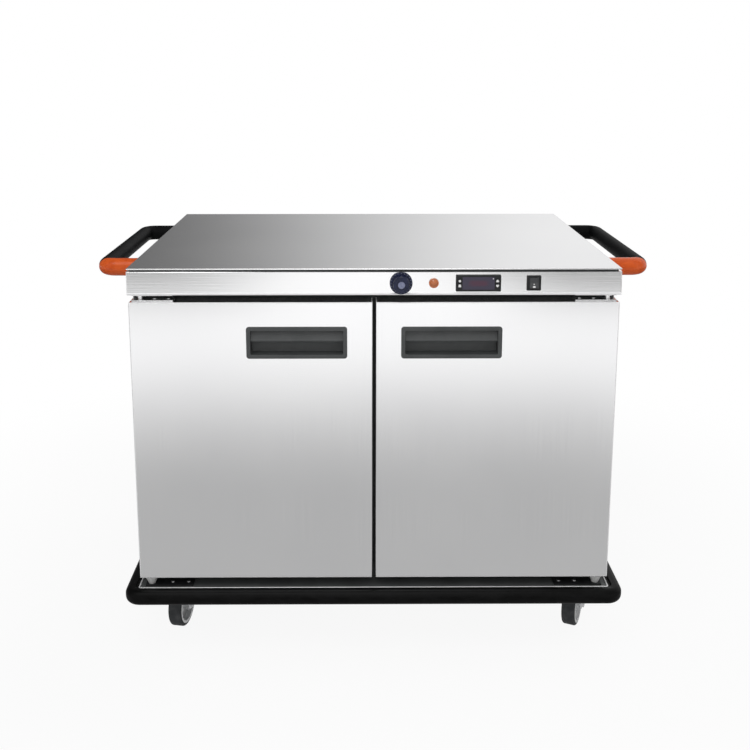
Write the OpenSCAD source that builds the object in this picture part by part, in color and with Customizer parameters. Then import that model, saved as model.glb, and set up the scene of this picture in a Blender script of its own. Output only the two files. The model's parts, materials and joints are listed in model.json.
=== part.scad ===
// Heated banquet cart: a two-door insulated cabinet on four swivel castors.
// X runs to the right, Y to the back and Z up. The origin is on the floor, under the middle of the cart.

/* [Cabinet] */
// Width of the cabinet, without bumper and handles
cabinet_w = 1000; // [900:10:1200]
// Depth of the cabinet, from the door fronts to the back
cabinet_d = 700; // [600:10:800]
// Height of the worktop above the floor
cabinet_h = 850; // [800:10:950]
// Height of the control header, from the worktop down
header_h = 55; // [50:1:70]
// Thickness of the insulated walls
wall_t = 50; // [40:1:60]
// Thickness of the folded outer sheets
sheet = 1.2; // [1:0.1:2]
// Thickness of the worktop's edge
worktop_edge = 3; // [2:0.5:6]
// Height of the dark joint under the worktop's edge
shadow_gap = 3.5; // [2:0.5:6]
// Distance from that joint back to the rim under the worktop
shadow_setback = 6; // [4:1:12]
// Width of the flanges and rims that the sheets are folded to
flange_w = 16; // [12:1:24]

/* [Base] */
// Height from the floor to the top of the castor plates
castor_h = 128; // [124:1:140]
// Height of the chassis deck
deck_h = 24; // [20:1:30]
// Thickness of the chassis sheet
deck_sheet = 2; // [1.5:0.5:3]
// Corner radius of the chassis deck
deck_corner_r = 4; // [3:0.5:4]
// Thickness of the bright strip round the deck
trim_t = 2; // [1.5:0.5:3]
// Height of the bright strip above the deck
trim_lip = 1.5; // [1:0.5:3]
// Distance that the bumper stands out beyond the cabinet
bumper_out = 30; // [24:1:40]
// Height of the bumper
bumper_h = 32; // [28:1:40]
// Distance from the deck's underside down to the bumper's underside
bumper_drop = 2; // [1:1:4]
// Radius of the bumper's outer edges
bumper_edge_r = 13; // [8:1:13]
// Width of the step behind the bumper's crown
bumper_step_w = 7; // [5:1:9]
// Depth of the step behind the bumper's crown
bumper_step_h = 5; // [4:0.5:6]

/* [Doors] */
// Thickness of a door
door_t = 40; // [36:1:48]
// Gap between the header and the doors
door_gap_top = 15; // [13:0.5:20]
// Gap between the deck and the doors
door_gap_bottom = 24; // [22:1:30]
// Gap between the two doors
door_gap_middle = 7; // [4:0.5:10]
// Distance from the cabinet's side to the door's outer edge
door_gap_side = 2; // [1:0.5:4]
// Gap between the doors and the face frame, filled by the seal
seal_gap = 13; // [11:0.5:16]
// Width of the door seal
seal_w = 14; // [12:1:16]
// Thickness of the seal's foot
seal_foot_t = 4; // [3:0.5:5]
// Width of the seal's bulb
seal_bulb_w = 8; // [6:0.5:10]
// Distance from the door's hinge edge to the seal
seal_inset_hinge = 30; // [28:1:36]
// Distance from the door's free edge to the seal
seal_inset_free = 4; // [3:1:8]
// Distance from the door's top and bottom edges to the seal
seal_inset_end = 6; // [4:1:10]
// Distance from the seal to the opening behind it
seal_land = 3; // [2:1:6]
// Distance that the inner pan's middle field stands out
field_out = 5; // [3:1:8]
// Distance from the seal to the inner pan's middle field
field_margin = 10; // [6:1:20]
// Bend radius of the door's outer edges
door_edge_r = 2; // [1.5:0.5:3]

/* [Door hinges] */
// Distance from the door's outer edge to the hinge axis
pivot_inset = 21; // [19:0.5:24]
// Radius of the hinge pins
hinge_pin_r = 5; // [4:0.5:6]
// Thickness of the hinge plates
hinge_plate_t = 3; // [2.5:0.5:4]
// Distance from the door's front to the hinge plates' front edge
hinge_plate_setback = 8; // [6:1:12]
// Depth of the hinge plates
hinge_plate_d = 26; // [22:1:28]
// Length of the door plate on top of each door
door_plate_w = 84; // [76:1:96]
// Distance from the door's outer edge to its plate
door_plate_inset = 5; // [3:1:8]
// Length of the bottom plate on the deck
deck_plate_w = 102; // [90:1:120]
// Radius of the riser's wide end, under the door
riser_top_r = 15; // [12:0.5:16]
// Radius of the riser's narrow end, on the plate
riser_bottom_r = 7; // [6.5:0.5:9]
// Outer radius of the hinge bushes
hinge_bush_r = 9; // [8:0.5:11]
// Length that a hinge pin reaches into its bush
pin_reach = 14; // [10:1:20]
// Radius of the hinge screw heads
screw_head_r = 4; // [3:0.5:5]
// Height of the hinge screw heads
screw_head_h = 2; // [1.5:0.5:2.5]
// Distance from one door plate screw to the next
door_screw_pitch = 29; // [24:1:32]
// Distance from one deck plate screw to the next
deck_screw_pitch = 34; // [28:1:40]

/* [Door pulls] */
// Width of a door pull's rim
pull_w = 206; // [160:2:230]
// Height of a door pull's rim
pull_h = 67; // [56:1:80]
// Distance from the cabinet's middle to the pull's rim
pull_from_middle = 55; // [40:1:80]
// Distance from the door's top to the pull's rim
pull_from_top = 51; // [40:1:80]
// Width of the pull's rim
pull_rim_w = 6; // [4:0.5:9]
// Distance that the pull's rim stands out from the door
pull_rim_out = 2; // [1:0.5:4]
// Corner radius of the pull's rim
pull_corner_r = 6; // [4:0.5:10]
// Depth of the pull's hollow
pull_depth = 28; // [24:1:32]
// Wall thickness of the pull's moulding
pull_wall = 2.5; // [2:0.5:3]
// Height of the grip bar across the upper half of the pull
grip_bar_h = 26; // [20:1:30]
// Radius of the grip bar's lower edge
grip_bar_r = 4; // [3:0.5:5]
// Distance from the pull's front back to the grip bar's lower edge
grip_bar_setback = 4; // [2:0.5:6]

/* [Side handles] */
// Outer radius of the handle's tube
handle_r = 18; // [15:0.5:20]
// Distance from the cabinet's side to the middle of the grip
handle_reach = 78; // [70:1:100]
// Distance between the middles of a handle's two legs
handle_span = 420; // [360:5:480]
// Bend radius of the handle's corners
handle_bend_r = 24; // [22:1:40]
// Distance from the worktop down to the middle of the handles
handle_drop = 26; // [23:1:30]
// Wall thickness of the coloured corner cover
cover_t = 1; // [0.8:0.1:2]
// Distance from the leg's middle to the cover's rear edge
cover_edge = 4; // [0:1:10]
// Length of the cover along the grip, past the corner
cover_run = 4; // [0:1:20]
// Radius of the studs that hold the handles
handle_stud_r = 5; // [4:0.5:6]
// Length of those studs inside the cabinet
handle_stud_l = 24; // [18:1:30]

/* [Controls] */
// Height of the controls' middle line above the header's lower edge
control_line_h = 25; // [22:1:30]
// Place of the knob, to the right of the middle
knob_x = 54; // [40:1:70]
// Radius of the knob's skirt
knob_r = 23; // [18:0.5:23]
// Distance that the knob stands out from the header
knob_out = 20; // [14:1:28]
// Radius of the knob's shaft
knob_shaft_r = 3; // [2.5:0.5:4]
// Place of the pilot lamp, to the right of the middle
lamp_x = 120; // [110:1:130]
// Radius of the pilot lamp's bezel
lamp_r = 10; // [7:0.5:12]
// Place of the temperature controller, to the right of the middle
controller_x = 210; // [200:1:220]
// Width of the controller's bezel
controller_w = 91; // [80:1:96]
// Height of the controller's bezel
controller_h = 34; // [30:1:38]
// Width of the controller's body behind the header
controller_body_w = 71; // [66:1:76]
// Height of the controller's body behind the header
controller_body_h = 28; // [26:1:29]
// Length of the controller's body behind the header
controller_body_l = 60; // [50:1:70]
// Distance that the controller's bezel stands out
bezel_out = 4; // [3:0.5:6]
// Side of the controller's square keys
key_side = 7; // [5:0.5:8]
// Travel of the controller's keys
key_travel = 0.5; // [0.3:0.1:0.8]
// Place of the rocker switch, to the right of the middle
switch_x = 322; // [300:1:340]
// Width of the switch's bezel
switch_w = 29; // [24:1:32]
// Height of the switch's bezel
switch_h = 31; // [26:1:34]
// Tilt of the rocker in each of its two positions, in degrees
rocker_tilt = 7; // [5:1:9]

/* [Castors] */
// Radius of the castor wheels
wheel_r = 50; // [46:1:50]
// Width of the wheels' tread
tread_w = 30; // [26:1:32]
// Thickness of the tread
tread_t = 8; // [6:1:12]
// Radius of the tread's edges
tread_edge_r = 5; // [3:0.5:6]
// Distance from the swivel axis back to the axle
castor_trail = 33; // [28:1:36]
// Distance from the cabinet's side to the swivel axis
castor_inset_x = 60; // [56:1:90]
// Distance from the cabinet's front or back to the swivel axis
castor_inset_y = 85; // [80:1:120]
// Thickness of the fork's legs and of the castor plate
fork_t = 3; // [2.5:0.5:4]
// Radius of the axle
axle_r = 6; // [5:0.5:7]
// Radius of the swivel bearing
race_r = 26; // [22:1:28]
// Radius of the kingpin
kingpin_r = 6; // [5:0.5:7]
// Turn of the front left castor at rest, in degrees
yaw_front_left = -10; // [-180:1:180]
// Turn of the front right castor at rest, in degrees
yaw_front_right = -24; // [-180:1:180]
// Turn of the rear left castor at rest, in degrees
yaw_rear_left = 14; // [-180:1:180]
// Turn of the rear right castor at rest, in degrees
yaw_rear_right = -8; // [-180:1:180]

/* [Inside] */
// Height of each row of shelf tabs above the floor of the cavity
shelf_levels = [130, 265, 400]; // [60:5:480]
// Radius of a shelf's outer wire
shelf_rim_r = 4; // [3:0.5:5]
// Radius of a shelf's cross wires
shelf_wire_r = 2; // [1.5:0.5:3]
// Distance from one cross wire to the next
shelf_pitch = 30; // [24:1:40]
// Width of the rack's uprights
upright_w = 20; // [16:1:26]
// Depth of the rack's uprights, out from the wall
upright_d = 12; // [10:1:16]
// Depth of the air duct on the back wall
duct_d = 60; // [54:1:80]
// Width of the air duct
duct_w = 280; // [260:5:320]
// Radius of the fan wheel
fan_r = 58; // [50:1:66]
// Number of fan blades
fan_blades = 8; // [5:1:12]
// Outer radius of the ring heater
heater_ring_r = 80; // [74:1:90]
// Radius of the heater's sheath
heater_rod_r = 4; // [3:0.5:5]
// Width of the water tray
tray_w = 260; // [200:5:280]
// Depth of the water tray
tray_d = 80; // [60:1:100]
// Height of the water tray
tray_h = 36; // [25:1:50]

// Width of the power inlet's flange
inlet_w = 48; // [44:1:60]
// Height of the power inlet's flange
inlet_h = 28; // [26:1:32]

/* [Fits] */
// Radial clearance of a pin in its running fit
run_clear = 0.05; // [0.02:0.01:0.08]
// Gap between pieces that move past each other
gap = 0.3; // [0.3:0.1:0.6]
// Small overlap that a cut runs past a face
over = 1; // [0.5:0.5:2]

/* [Hidden] */
$fn = 48;

// Levels and planes of the cabinet
side_x = cabinet_w / 2;
front_y = -cabinet_d / 2;
back_y = cabinet_d / 2;
header_z = cabinet_h - header_h;
fascia_top_z = cabinet_h - worktop_edge - shadow_gap;
deck_z = castor_h + deck_h;
door_top_z = header_z - door_gap_top;
door_bottom_z = deck_z + door_gap_bottom;
door_back_y = front_y + door_t;
frame_y = door_back_y + seal_gap;
liner_front_y = frame_y + flange_w;

// The right door leaf, which the left one mirrors
door_x0 = door_gap_middle / 2;
door_x1 = side_x - door_gap_side;
door_w = door_x1 - door_x0;
door_h = door_top_z - door_bottom_z;
pivot_x = door_x1 - pivot_inset;
pivot_y = front_y + door_t / 2;

// Seal ring of the right door and the opening behind it
seal_x0 = door_x0 + seal_inset_free;
seal_x1 = door_x1 - seal_inset_hinge;
seal_z0 = door_bottom_z + seal_inset_end;
seal_z1 = door_top_z - seal_inset_end;
seal_land_w = seal_w + seal_land;
cavity_x0 = seal_x0 + seal_land_w;
cavity_x = seal_x1 - seal_land_w;
cavity_z0 = seal_z0 + seal_land_w;
cavity_z1 = seal_z1 - seal_land_w;
cavity_back_y = back_y - wall_t;

// Pull of the right door
pull_x = pull_from_middle + pull_w / 2;
pull_z = door_top_z - pull_from_top - pull_h / 2;
tub_w = pull_w - 2 * pull_rim_w;
tub_h = pull_h - 2 * pull_rim_w;
tub_corner_r = 3;

// Hinges
bush_flange_t = 3;
riser_z0 = deck_z + hinge_plate_t;
riser_z1 = door_bottom_z - bush_flange_t - gap;
hinge_bore_r = hinge_pin_r + run_clear;
screw_setback = 15;
first_door_screw = 28;
first_deck_screw = 44;

// Air duct, fan, heater and water tray
duct_front_y = cavity_back_y - duct_d;
duct_z0 = cavity_z0 + tray_h + 24;
duct_z1 = cavity_z1 - 12;
fan_z = (duct_z0 + duct_z1) / 2;
fan_front_y = duct_front_y + 12;
fan_l = 22;
fan_hub_r = 14;
fan_shaft_r = 3;
motor_r = 32;
blade_t = 2;
heater_y = duct_front_y + 24;
tray_sheet = 1.5;
tray_y1 = cavity_back_y - 10;

// Rack and shelves
rack_setback = 30;
rack_front_y = liner_front_y + rack_setback;
rack_back_y = duct_front_y - rack_setback - upright_w;
rack_middle_half = cavity_x0 - 8;
tab_t = 3;
tab_l = 14;
shelf_x0 = rack_middle_half + 2 * gap;
shelf_x1 = cavity_x - upright_d - 2 * gap;
shelf_y0 = liner_front_y + 12;
shelf_y1 = duct_front_y - 12;
shelf_corner_r = 14;
shelf_w = shelf_x1 - shelf_x0;
shelf_d = shelf_y1 - shelf_y0;
shelf_wires = floor((shelf_w - 2 * shelf_corner_r) / shelf_pitch) + 1;
weld = 1;

// Controls
control_z = header_z + control_line_h;
key_out = 1;
key_floor_t = 0.7;
key_x = controller_w / 2 - bezel_out - key_side / 2;
key_dz = key_side / 2 + 1.5;
key_l = bezel_out + key_out - key_floor_t - key_travel - gap;
window_w = 2 * (key_x - key_side / 2 - 2);
window_h = controller_h - 8;
window_t = 1.5;
bezel_corner_r = 2;
switch_bezel_t = 2.5;
rocker_w = switch_w - 11;
rocker_h = switch_h - 9;
rocker_axis_y = front_y + 1;
rocker_well_d = 12;
rocker_pin_r = 1.5;
rocker_pin_l = 2;
switch_body_l = 26;
lamp_hole_r = lamp_r - 2;
lamp_bezel_t = 2.5;
dome_h = 4;
lamp_body_l = 20;
thermostat_w = 36;
thermostat_h = 30;
thermostat_l = 30;
knob_skirt_t = 3;
knob_cap_r = 7;
inlet_x = -300;
inlet_z = header_z + control_line_h;
inlet_flange_t = 3;
inlet_body_l = 26;

// Handles
handle_z = cabinet_h - handle_drop;
nut_r = 9;
nut_h = 7;

// Castors
castor_x = side_x - castor_inset_x;
castor_y = cabinet_d / 2 - castor_inset_y;
plate_w = 100;
plate_d = 84;
plate_bolt_r = 5;
race_h = 12;
fork_gap = tread_w + 8;
hub_w = fork_gap - 2 * gap;
hub_r = 14;
boss_r = 13;
rim_t = 4;
rim_flange_t = 1.5;
rim_flange_out = 1.5;
tread_fit = 0.5;
web_t = 8;
crown_h = 8;
crown_top_z = castor_h - fork_t - race_h - gap;
crown_z = crown_top_z - crown_h;
pin_head_h = 5;
axle_nut_h = 5;
pedal_y = castor_trail + 36;
pedal_z = crown_z - 7;
pedal_pin_r = 3;
pedal_eye_r = 7;
pedal_arm_l = 30;
pedal_arm_t = 4;

// Basic shapes

module box(x0, x1, y0, y1, z0, z1)
    translate([x0, y0, z0]) cube([x1 - x0, y1 - y0, z1 - z0]);

// Box that reaches as far to the left as to the right
module wide_box(half_x, y0, y1, z0, z1)
    box(-half_x, half_x, y0, y1, z0, z1);

module rounded_rect(w, h, r) {
    square([w, h - 2 * r], center = true);
    square([w - 2 * r, h], center = true);
    for (sx = [-1, 1], sy = [-1, 1])
        translate([sx * (w / 2 - r), sy * (h / 2 - r)]) circle(r);
}

// Plate with round corners that stands upright, its front face at the origin
module upright_plate(w, h, r, t)
    rotate([-90, 0, 0]) linear_extrude(t) rounded_rect(w, h, r);

// Cylinder along Y, from the origin to the back
module bar_y(r, l)
    rotate([-90, 0, 0]) cylinder(h = l, r = r);

// Sweeps a profile round a rectangle with round corners. Its x runs outwards and its y runs up.
module rim_sweep(half_x, half_y, r) {
    for (turn = [0, 180]) rotate(turn) {
        translate([half_x - r, 0, 0]) rotate([90, 0, 0])
            linear_extrude(2 * (half_y - r), center = true) translate([r, 0]) children();
        rotate(90) translate([half_y - r, 0, 0]) rotate([90, 0, 0])
            linear_extrude(2 * (half_x - r), center = true) translate([r, 0]) children();
    }
    for (quarter = [0:3]) {
        sx = quarter == 0 || quarter == 3 ? 1 : -1;
        sy = quarter < 2 ? 1 : -1;
        translate([sx * (half_x - r), sy * (half_y - r), 0]) rotate(90 * quarter)
            rotate_extrude(angle = 90) translate([r, 0]) children();
    }
}

// Mirrors a right-hand piece to the left for side = -1
module on_side(side) mirror([side < 0 ? 1 : 0, 0, 0]) children();

// Pan head of a screw that stands on the origin
module screw_head() {
    cylinder(h = screw_head_h / 2, r = screw_head_r);
    translate([0, 0, screw_head_h / 2])
        cylinder(h = screw_head_h / 2, r1 = screw_head_r, r2 = screw_head_r * 0.6);
}

// Cabinet

module worktop() {
    rim_x = side_x - shadow_setback;
    rim_y = cabinet_d / 2 - shadow_setback;
    color("gainsboro") {
        wide_box(side_x, front_y, back_y, cabinet_h - worktop_edge, cabinet_h);
        difference() {
            wide_box(rim_x, -rim_y, rim_y, fascia_top_z, cabinet_h - worktop_edge);
            wide_box(rim_x - flange_w, -rim_y + flange_w, rim_y - flange_w,
                fascia_top_z - over, cabinet_h - worktop_edge);
        }
    }
}

// Folded header box, open at the back and in the middle of its top
module control_fascia() {
    flange_in = shadow_setback + flange_w;
    color("gainsboro") difference() {
        wide_box(side_x, front_y, frame_y, header_z, fascia_top_z);
        wide_box(side_x - sheet, front_y + sheet, frame_y + over, header_z + sheet, fascia_top_z - sheet);
        wide_box(side_x - flange_in, front_y + flange_in, frame_y + over, header_z + sheet, fascia_top_z + over);
        translate([knob_x, front_y - over, control_z]) bar_y(knob_shaft_r + 2, sheet + 2 * over);
        translate([lamp_x, front_y - over, control_z]) bar_y(lamp_hole_r, sheet + 2 * over);
        box(controller_x - controller_body_w / 2, controller_x + controller_body_w / 2,
            front_y - over, front_y + sheet + over,
            control_z - controller_body_h / 2, control_z + controller_body_h / 2);
        box(switch_x - switch_w / 2 + 2, switch_x + switch_w / 2 - 2,
            front_y - over, front_y + sheet + over,
            control_z - switch_h / 2 + 2, control_z + switch_h / 2 - 2);
        for (side = [-1, 1]) translate([side * pivot_x, pivot_y, header_z - over])
            cylinder(h = sheet + 2 * over, r = hinge_bush_r);
    }
}

// Sides and back, folded from one sheet, with a flange along the top
module cabinet_wrap() {
    flange_in = shadow_setback + flange_w;
    color("gainsboro") difference() {
        wide_box(side_x, frame_y, back_y, deck_z, fascia_top_z);
        wide_box(side_x - sheet, frame_y - over, back_y - sheet, deck_z - over, fascia_top_z - sheet);
        wide_box(side_x - flange_in, frame_y - over, back_y - flange_in, deck_z, fascia_top_z + over);
        for (side = [-1, 1], leg = [-1, 1])
            translate([side * side_x, leg * handle_span / 2, handle_z]) rotate([0, 90, 0])
                cylinder(h = 4 * sheet, r = handle_stud_r, center = true);
        translate([inlet_x, back_y - 2 * sheet, inlet_z])
            upright_plate(inlet_w - 12, inlet_h - 6, 3, 4 * sheet);
    }
}

// Face frame with a post between the two openings, folded back round each opening
module front_frame() {
    color("silver") difference() {
        wide_box(side_x - sheet, frame_y, liner_front_y, deck_z, header_z);
        for (side = [-1, 1]) on_side(side)
            box(cavity_x0, cavity_x, frame_y - over, liner_front_y + over, cavity_z0, cavity_z1);
        difference() {
            wide_box(side_x - 2 * sheet, frame_y + sheet, liner_front_y + over,
                deck_z + sheet, header_z - sheet);
            for (side = [-1, 1]) on_side(side)
                box(cavity_x0 - sheet, cavity_x + sheet, frame_y, liner_front_y + 2 * over,
                    cavity_z0 - sheet, cavity_z1 + sheet);
        }
    }
}

module cabinet_liner() {
    color("lightgray") difference() {
        wide_box(cavity_x + sheet, liner_front_y, cavity_back_y + sheet,
            cavity_z0 - sheet, cavity_z1 + sheet);
        wide_box(cavity_x, liner_front_y - over, cavity_back_y, cavity_z0, cavity_z1);
        translate([0, cavity_back_y - over, fan_z]) bar_y(fan_shaft_r + 2, sheet + 2 * over);
    }
}

// Mineral wool in the floor, sides, back and roof, cut out for the motor
module insulation() {
    color("khaki") difference() {
        wide_box(side_x - sheet, liner_front_y, back_y - sheet, deck_z, header_z);
        wide_box(cavity_x + sheet, liner_front_y - over, cavity_back_y + sheet,
            cavity_z0 - sheet, cavity_z1 + sheet);
        translate([0, cavity_back_y, fan_z]) bar_y(motor_r + 1, wall_t);
    }
}

// Base

// Closed chassis pan, hollow inside
module base_frame() {
    color("dimgray") difference() {
        translate([0, 0, castor_h]) linear_extrude(deck_h)
            rounded_rect(cabinet_w, cabinet_d, deck_corner_r);
        translate([0, 0, castor_h + deck_sheet]) linear_extrude(deck_h - 2 * deck_sheet)
            rounded_rect(cabinet_w - 2 * deck_sheet, cabinet_d - 2 * deck_sheet, deck_corner_r - deck_sheet);
    }
}

module base_edge_trim() {
    color("whitesmoke") difference() {
        translate([0, 0, castor_h]) linear_extrude(deck_h + trim_lip) difference() {
            rounded_rect(cabinet_w + 2 * trim_t, cabinet_d + 2 * trim_t, deck_corner_r + trim_t);
            rounded_rect(cabinet_w, cabinet_d, deck_corner_r);
        }
        wide_box(side_x, front_y, back_y, deck_z, deck_z + trim_lip + over);
    }
}

// Section of the bumper: a D with its flat to the strip and a step behind the crown
module bumper_section() {
    out = bumper_out - trim_t;
    r = bumper_edge_r;
    difference() {
        union() {
            square([out - r, bumper_h]);
            translate([0, r]) square([out, bumper_h - 2 * r]);
            for (v = [r, bumper_h - r]) translate([out - r, v]) circle(r);
        }
        translate([-over, bumper_h - bumper_step_h])
            square([bumper_step_w + over, bumper_step_h + over]);
    }
}

module bumper() {
    color([0.06, 0.06, 0.07]) translate([0, 0, castor_h - bumper_drop])
        rim_sweep(side_x + trim_t, cabinet_d / 2 + trim_t, deck_corner_r + trim_t) bumper_section();
}

// Side handles

module handle_elbow(r, end) {
    translate([side_x + handle_reach - handle_bend_r, end * (handle_span / 2 - handle_bend_r), handle_z])
        rotate(end < 0 ? -90 : 0) rotate_extrude(angle = 90) translate([handle_bend_r, 0]) circle(r);
}

module handle_leg(r, end)
    translate([side_x, end * handle_span / 2, handle_z]) rotate([0, 90, 0])
        cylinder(h = handle_reach - handle_bend_r, r = r);

module handle_tube(r) {
    for (end = [-1, 1]) {
        handle_leg(r, end);
        handle_elbow(r, end);
    }
    translate([side_x + handle_reach, 0, handle_z]) rotate([90, 0, 0])
        cylinder(h = handle_span - 2 * handle_bend_r, r = r, center = true);
}

// Handle with the studs and nuts that hold it to the side
module handle_grip(side) {
    color([0.07, 0.07, 0.08]) on_side(side) {
        handle_tube(handle_r);
        for (end = [-1, 1]) translate([side_x, end * handle_span / 2, handle_z]) rotate([0, 90, 0]) {
            translate([0, 0, -handle_stud_l]) cylinder(h = handle_stud_l + 2, r = handle_stud_r);
            translate([0, 0, -sheet - nut_h]) cylinder(h = nut_h, r = nut_r, $fn = 6);
        }
    }
}

module handle_grip_left() handle_grip(-1);

module handle_grip_right() handle_grip(1);

// Coloured covers round the front leg and corner of each handle, open at the rear
module handle_covers() {
    r = handle_r + cover_t;
    corner_y = handle_bend_r - handle_span / 2;
    color([0.86, 0.33, 0.14]) for (side = [-1, 1]) on_side(side) difference() {
        union() {
            handle_leg(r, -1);
            handle_elbow(r, -1);
            translate([side_x + handle_reach, corner_y, handle_z]) bar_y(r, cover_run);
        }
        handle_tube(handle_r);
        box(side_x - over, side_x + handle_reach + handle_r + 2 * cover_t, cover_edge - handle_span / 2, 0,
            handle_z - 2 * handle_r, handle_z + 2 * handle_r);
    }
}

// Door hinges

// Plates under the header with the bushes that take the doors' upper pins
module top_hinge_brackets() {
    plate_x1 = door_x1 - door_plate_inset;
    color("silver") for (side = [-1, 1]) on_side(side) difference() {
        union() {
            box(plate_x1 - door_plate_w, plate_x1, front_y + hinge_plate_setback, frame_y,
                header_z - hinge_plate_t, header_z);
            translate([pivot_x, pivot_y, header_z - hinge_plate_t - 2])
                cylinder(h = hinge_plate_t + 2 + pin_reach, r = hinge_bush_r);
        }
        translate([pivot_x, pivot_y, header_z - hinge_plate_t - 2 - over])
            cylinder(h = hinge_plate_t + 2 + pin_reach + 2 * over, r = hinge_bore_r);
    }
}

// Plates on the deck with the lower pins, their screws and the risers under the doors
module bottom_hinge_brackets() {
    plate_x1 = door_x1 - door_plate_inset - 4;
    plate_y0 = front_y + hinge_plate_setback;
    color("silver") for (side = [-1, 1]) on_side(side) {
        box(plate_x1 - deck_plate_w, plate_x1, plate_y0, plate_y0 + hinge_plate_d, deck_z, riser_z0);
        translate([pivot_x, pivot_y, deck_z])
            cylinder(h = door_bottom_z + pin_reach - deck_z, r = hinge_pin_r);
        translate([pivot_x, pivot_y, riser_z0])
            cylinder(h = riser_z1 - riser_z0, r1 = riser_bottom_r, r2 = riser_top_r);
        for (i = [0, 1])
            translate([pivot_x - first_deck_screw - i * deck_screw_pitch, plate_y0 + screw_setback, riser_z0])
                screw_head();
    }
}

// Plate on top of a door with its pin and screws, and the bush in the door's lower edge
module door_pivots(side) {
    plate_x1 = door_x1 - door_plate_inset;
    plate_y0 = front_y + hinge_plate_setback;
    plate_z1 = door_top_z + hinge_plate_t;
    color("silver") on_side(side) {
        box(plate_x1 - door_plate_w, plate_x1, plate_y0, plate_y0 + hinge_plate_d, door_top_z, plate_z1);
        translate([pivot_x, pivot_y, plate_z1])
            cylinder(h = header_z + pin_reach - 2 - plate_z1, r = hinge_pin_r);
        for (i = [0, 1])
            translate([pivot_x - first_door_screw - i * door_screw_pitch, plate_y0 + screw_setback, plate_z1])
                screw_head();
        difference() {
            union() {
                translate([pivot_x, pivot_y, door_bottom_z - bush_flange_t])
                    cylinder(h = bush_flange_t, r = hinge_bush_r + 2);
                translate([pivot_x, pivot_y, door_bottom_z]) cylinder(h = pin_reach + 5, r = hinge_bush_r);
            }
            translate([pivot_x, pivot_y, door_bottom_z - bush_flange_t - over])
                cylinder(h = bush_flange_t + pin_reach + 2 * over, r = hinge_bore_r);
        }
    }
}

module left_door_pivots() door_pivots(-1);

module right_door_pivots() door_pivots(1);

// Doors

module at_pull() translate([pull_x, front_y, pull_z]) children();

// Outer pan with round edges, cut out for the pull and for the lower bush
module door_skin(side) {
    color("gainsboro") on_side(side) difference() {
        translate([(door_x0 + door_x1) / 2, pivot_y, door_bottom_z])
            linear_extrude(door_h) rounded_rect(door_w, door_t, door_edge_r);
        box(door_x0 + sheet, door_x1 - sheet, front_y + sheet, door_back_y + over,
            door_bottom_z + sheet, door_top_z - sheet);
        at_pull() translate([0, -over, 0]) upright_plate(tub_w, tub_h, tub_corner_r, sheet + 2 * over);
        translate([pivot_x, pivot_y, door_bottom_z - over]) cylinder(h = sheet + 2 * over, r = hinge_bush_r);
    }
}

// Inner pan with a raised field that reaches into the opening
module door_inner_pan(side) {
    field_x0 = seal_x0 + seal_w + field_margin;
    field_x1 = seal_x1 - seal_w - field_margin;
    field_z0 = seal_z0 + seal_w + field_margin;
    field_z1 = seal_z1 - seal_w - field_margin;
    color("lightgray") on_side(side) difference() {
        union() {
            box(door_x0 + sheet, door_x1 - sheet, door_back_y - sheet, door_back_y,
                door_bottom_z + sheet, door_top_z - sheet);
            box(field_x0, field_x1, door_back_y, door_back_y + field_out, field_z0, field_z1);
        }
        box(field_x0 + sheet, field_x1 - sheet, door_back_y - sheet - over, door_back_y + field_out - sheet,
            field_z0 + sheet, field_z1 - sheet);
    }
}

// Insulation between the pans, cut out round the pull and the lower bush
module door_core(side) {
    color("khaki") on_side(side) difference() {
        box(door_x0 + sheet, door_x1 - sheet, front_y + sheet, door_back_y - sheet,
            door_bottom_z + sheet, door_top_z - sheet);
        at_pull() upright_plate(tub_w, tub_h, tub_corner_r, pull_depth);
        translate([pivot_x, pivot_y, door_bottom_z]) cylinder(h = pin_reach + 5, r = hinge_bush_r);
    }
}

// Recessed pull: a rim on the door, a tub behind it and a grip bar across the upper half
module door_pull(side) {
    hollow_w = tub_w - 2 * pull_wall;
    hollow_h = tub_h - 2 * pull_wall;
    hollow_r = tub_corner_r - pull_wall + 1;
    bar_top = hollow_h / 2 + pull_wall / 2;
    nose_y = grip_bar_setback + grip_bar_r;
    nose_z = hollow_h / 2 - grip_bar_h + grip_bar_r;
    root_y = grip_bar_setback + 2 * grip_bar_r;
    color([0.2, 0.21, 0.22]) on_side(side) at_pull() {
        difference() {
            union() {
                translate([0, -pull_rim_out, 0]) upright_plate(pull_w, pull_h, pull_corner_r, pull_rim_out);
                upright_plate(tub_w, tub_h, tub_corner_r, pull_depth);
            }
            translate([0, -pull_rim_out - over, 0])
                upright_plate(hollow_w, hollow_h, hollow_r, pull_rim_out + over + pull_depth - pull_wall);
        }
        rotate([90, 0, 90]) linear_extrude(hollow_w + pull_wall, center = true) {
            translate([nose_y, nose_z]) circle(grip_bar_r);
            polygon([
                [root_y, bar_top],
                [grip_bar_setback, nose_z],
                [grip_bar_setback + 2 * grip_bar_r, nose_z],
                [root_y + grip_bar_r, bar_top]
            ]);
        }
    }
}

// Seal ring: a wide foot on the inner pan and a narrower bulb that meets the face frame
module door_seal(side) {
    ring_w = seal_x1 - seal_x0;
    ring_h = seal_z1 - seal_z0;
    bulb_in = (seal_w - seal_bulb_w) / 2;
    color([0.12, 0.12, 0.12]) on_side(side)
        translate([(seal_x0 + seal_x1) / 2, door_back_y, (seal_z0 + seal_z1) / 2]) rotate([-90, 0, 0]) {
            linear_extrude(seal_foot_t) seal_ring(ring_w, ring_h, seal_w);
            linear_extrude(seal_gap - gap) seal_ring(ring_w - 2 * bulb_in, ring_h - 2 * bulb_in, seal_bulb_w);
        }
}

module seal_ring(w, h, t) difference() {
    square([w, h], center = true);
    square([w - 2 * t, h - 2 * t], center = true);
}

module left_door_skin() door_skin(-1);

module left_door_inner_pan() door_inner_pan(-1);

module left_door_core() door_core(-1);

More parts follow.
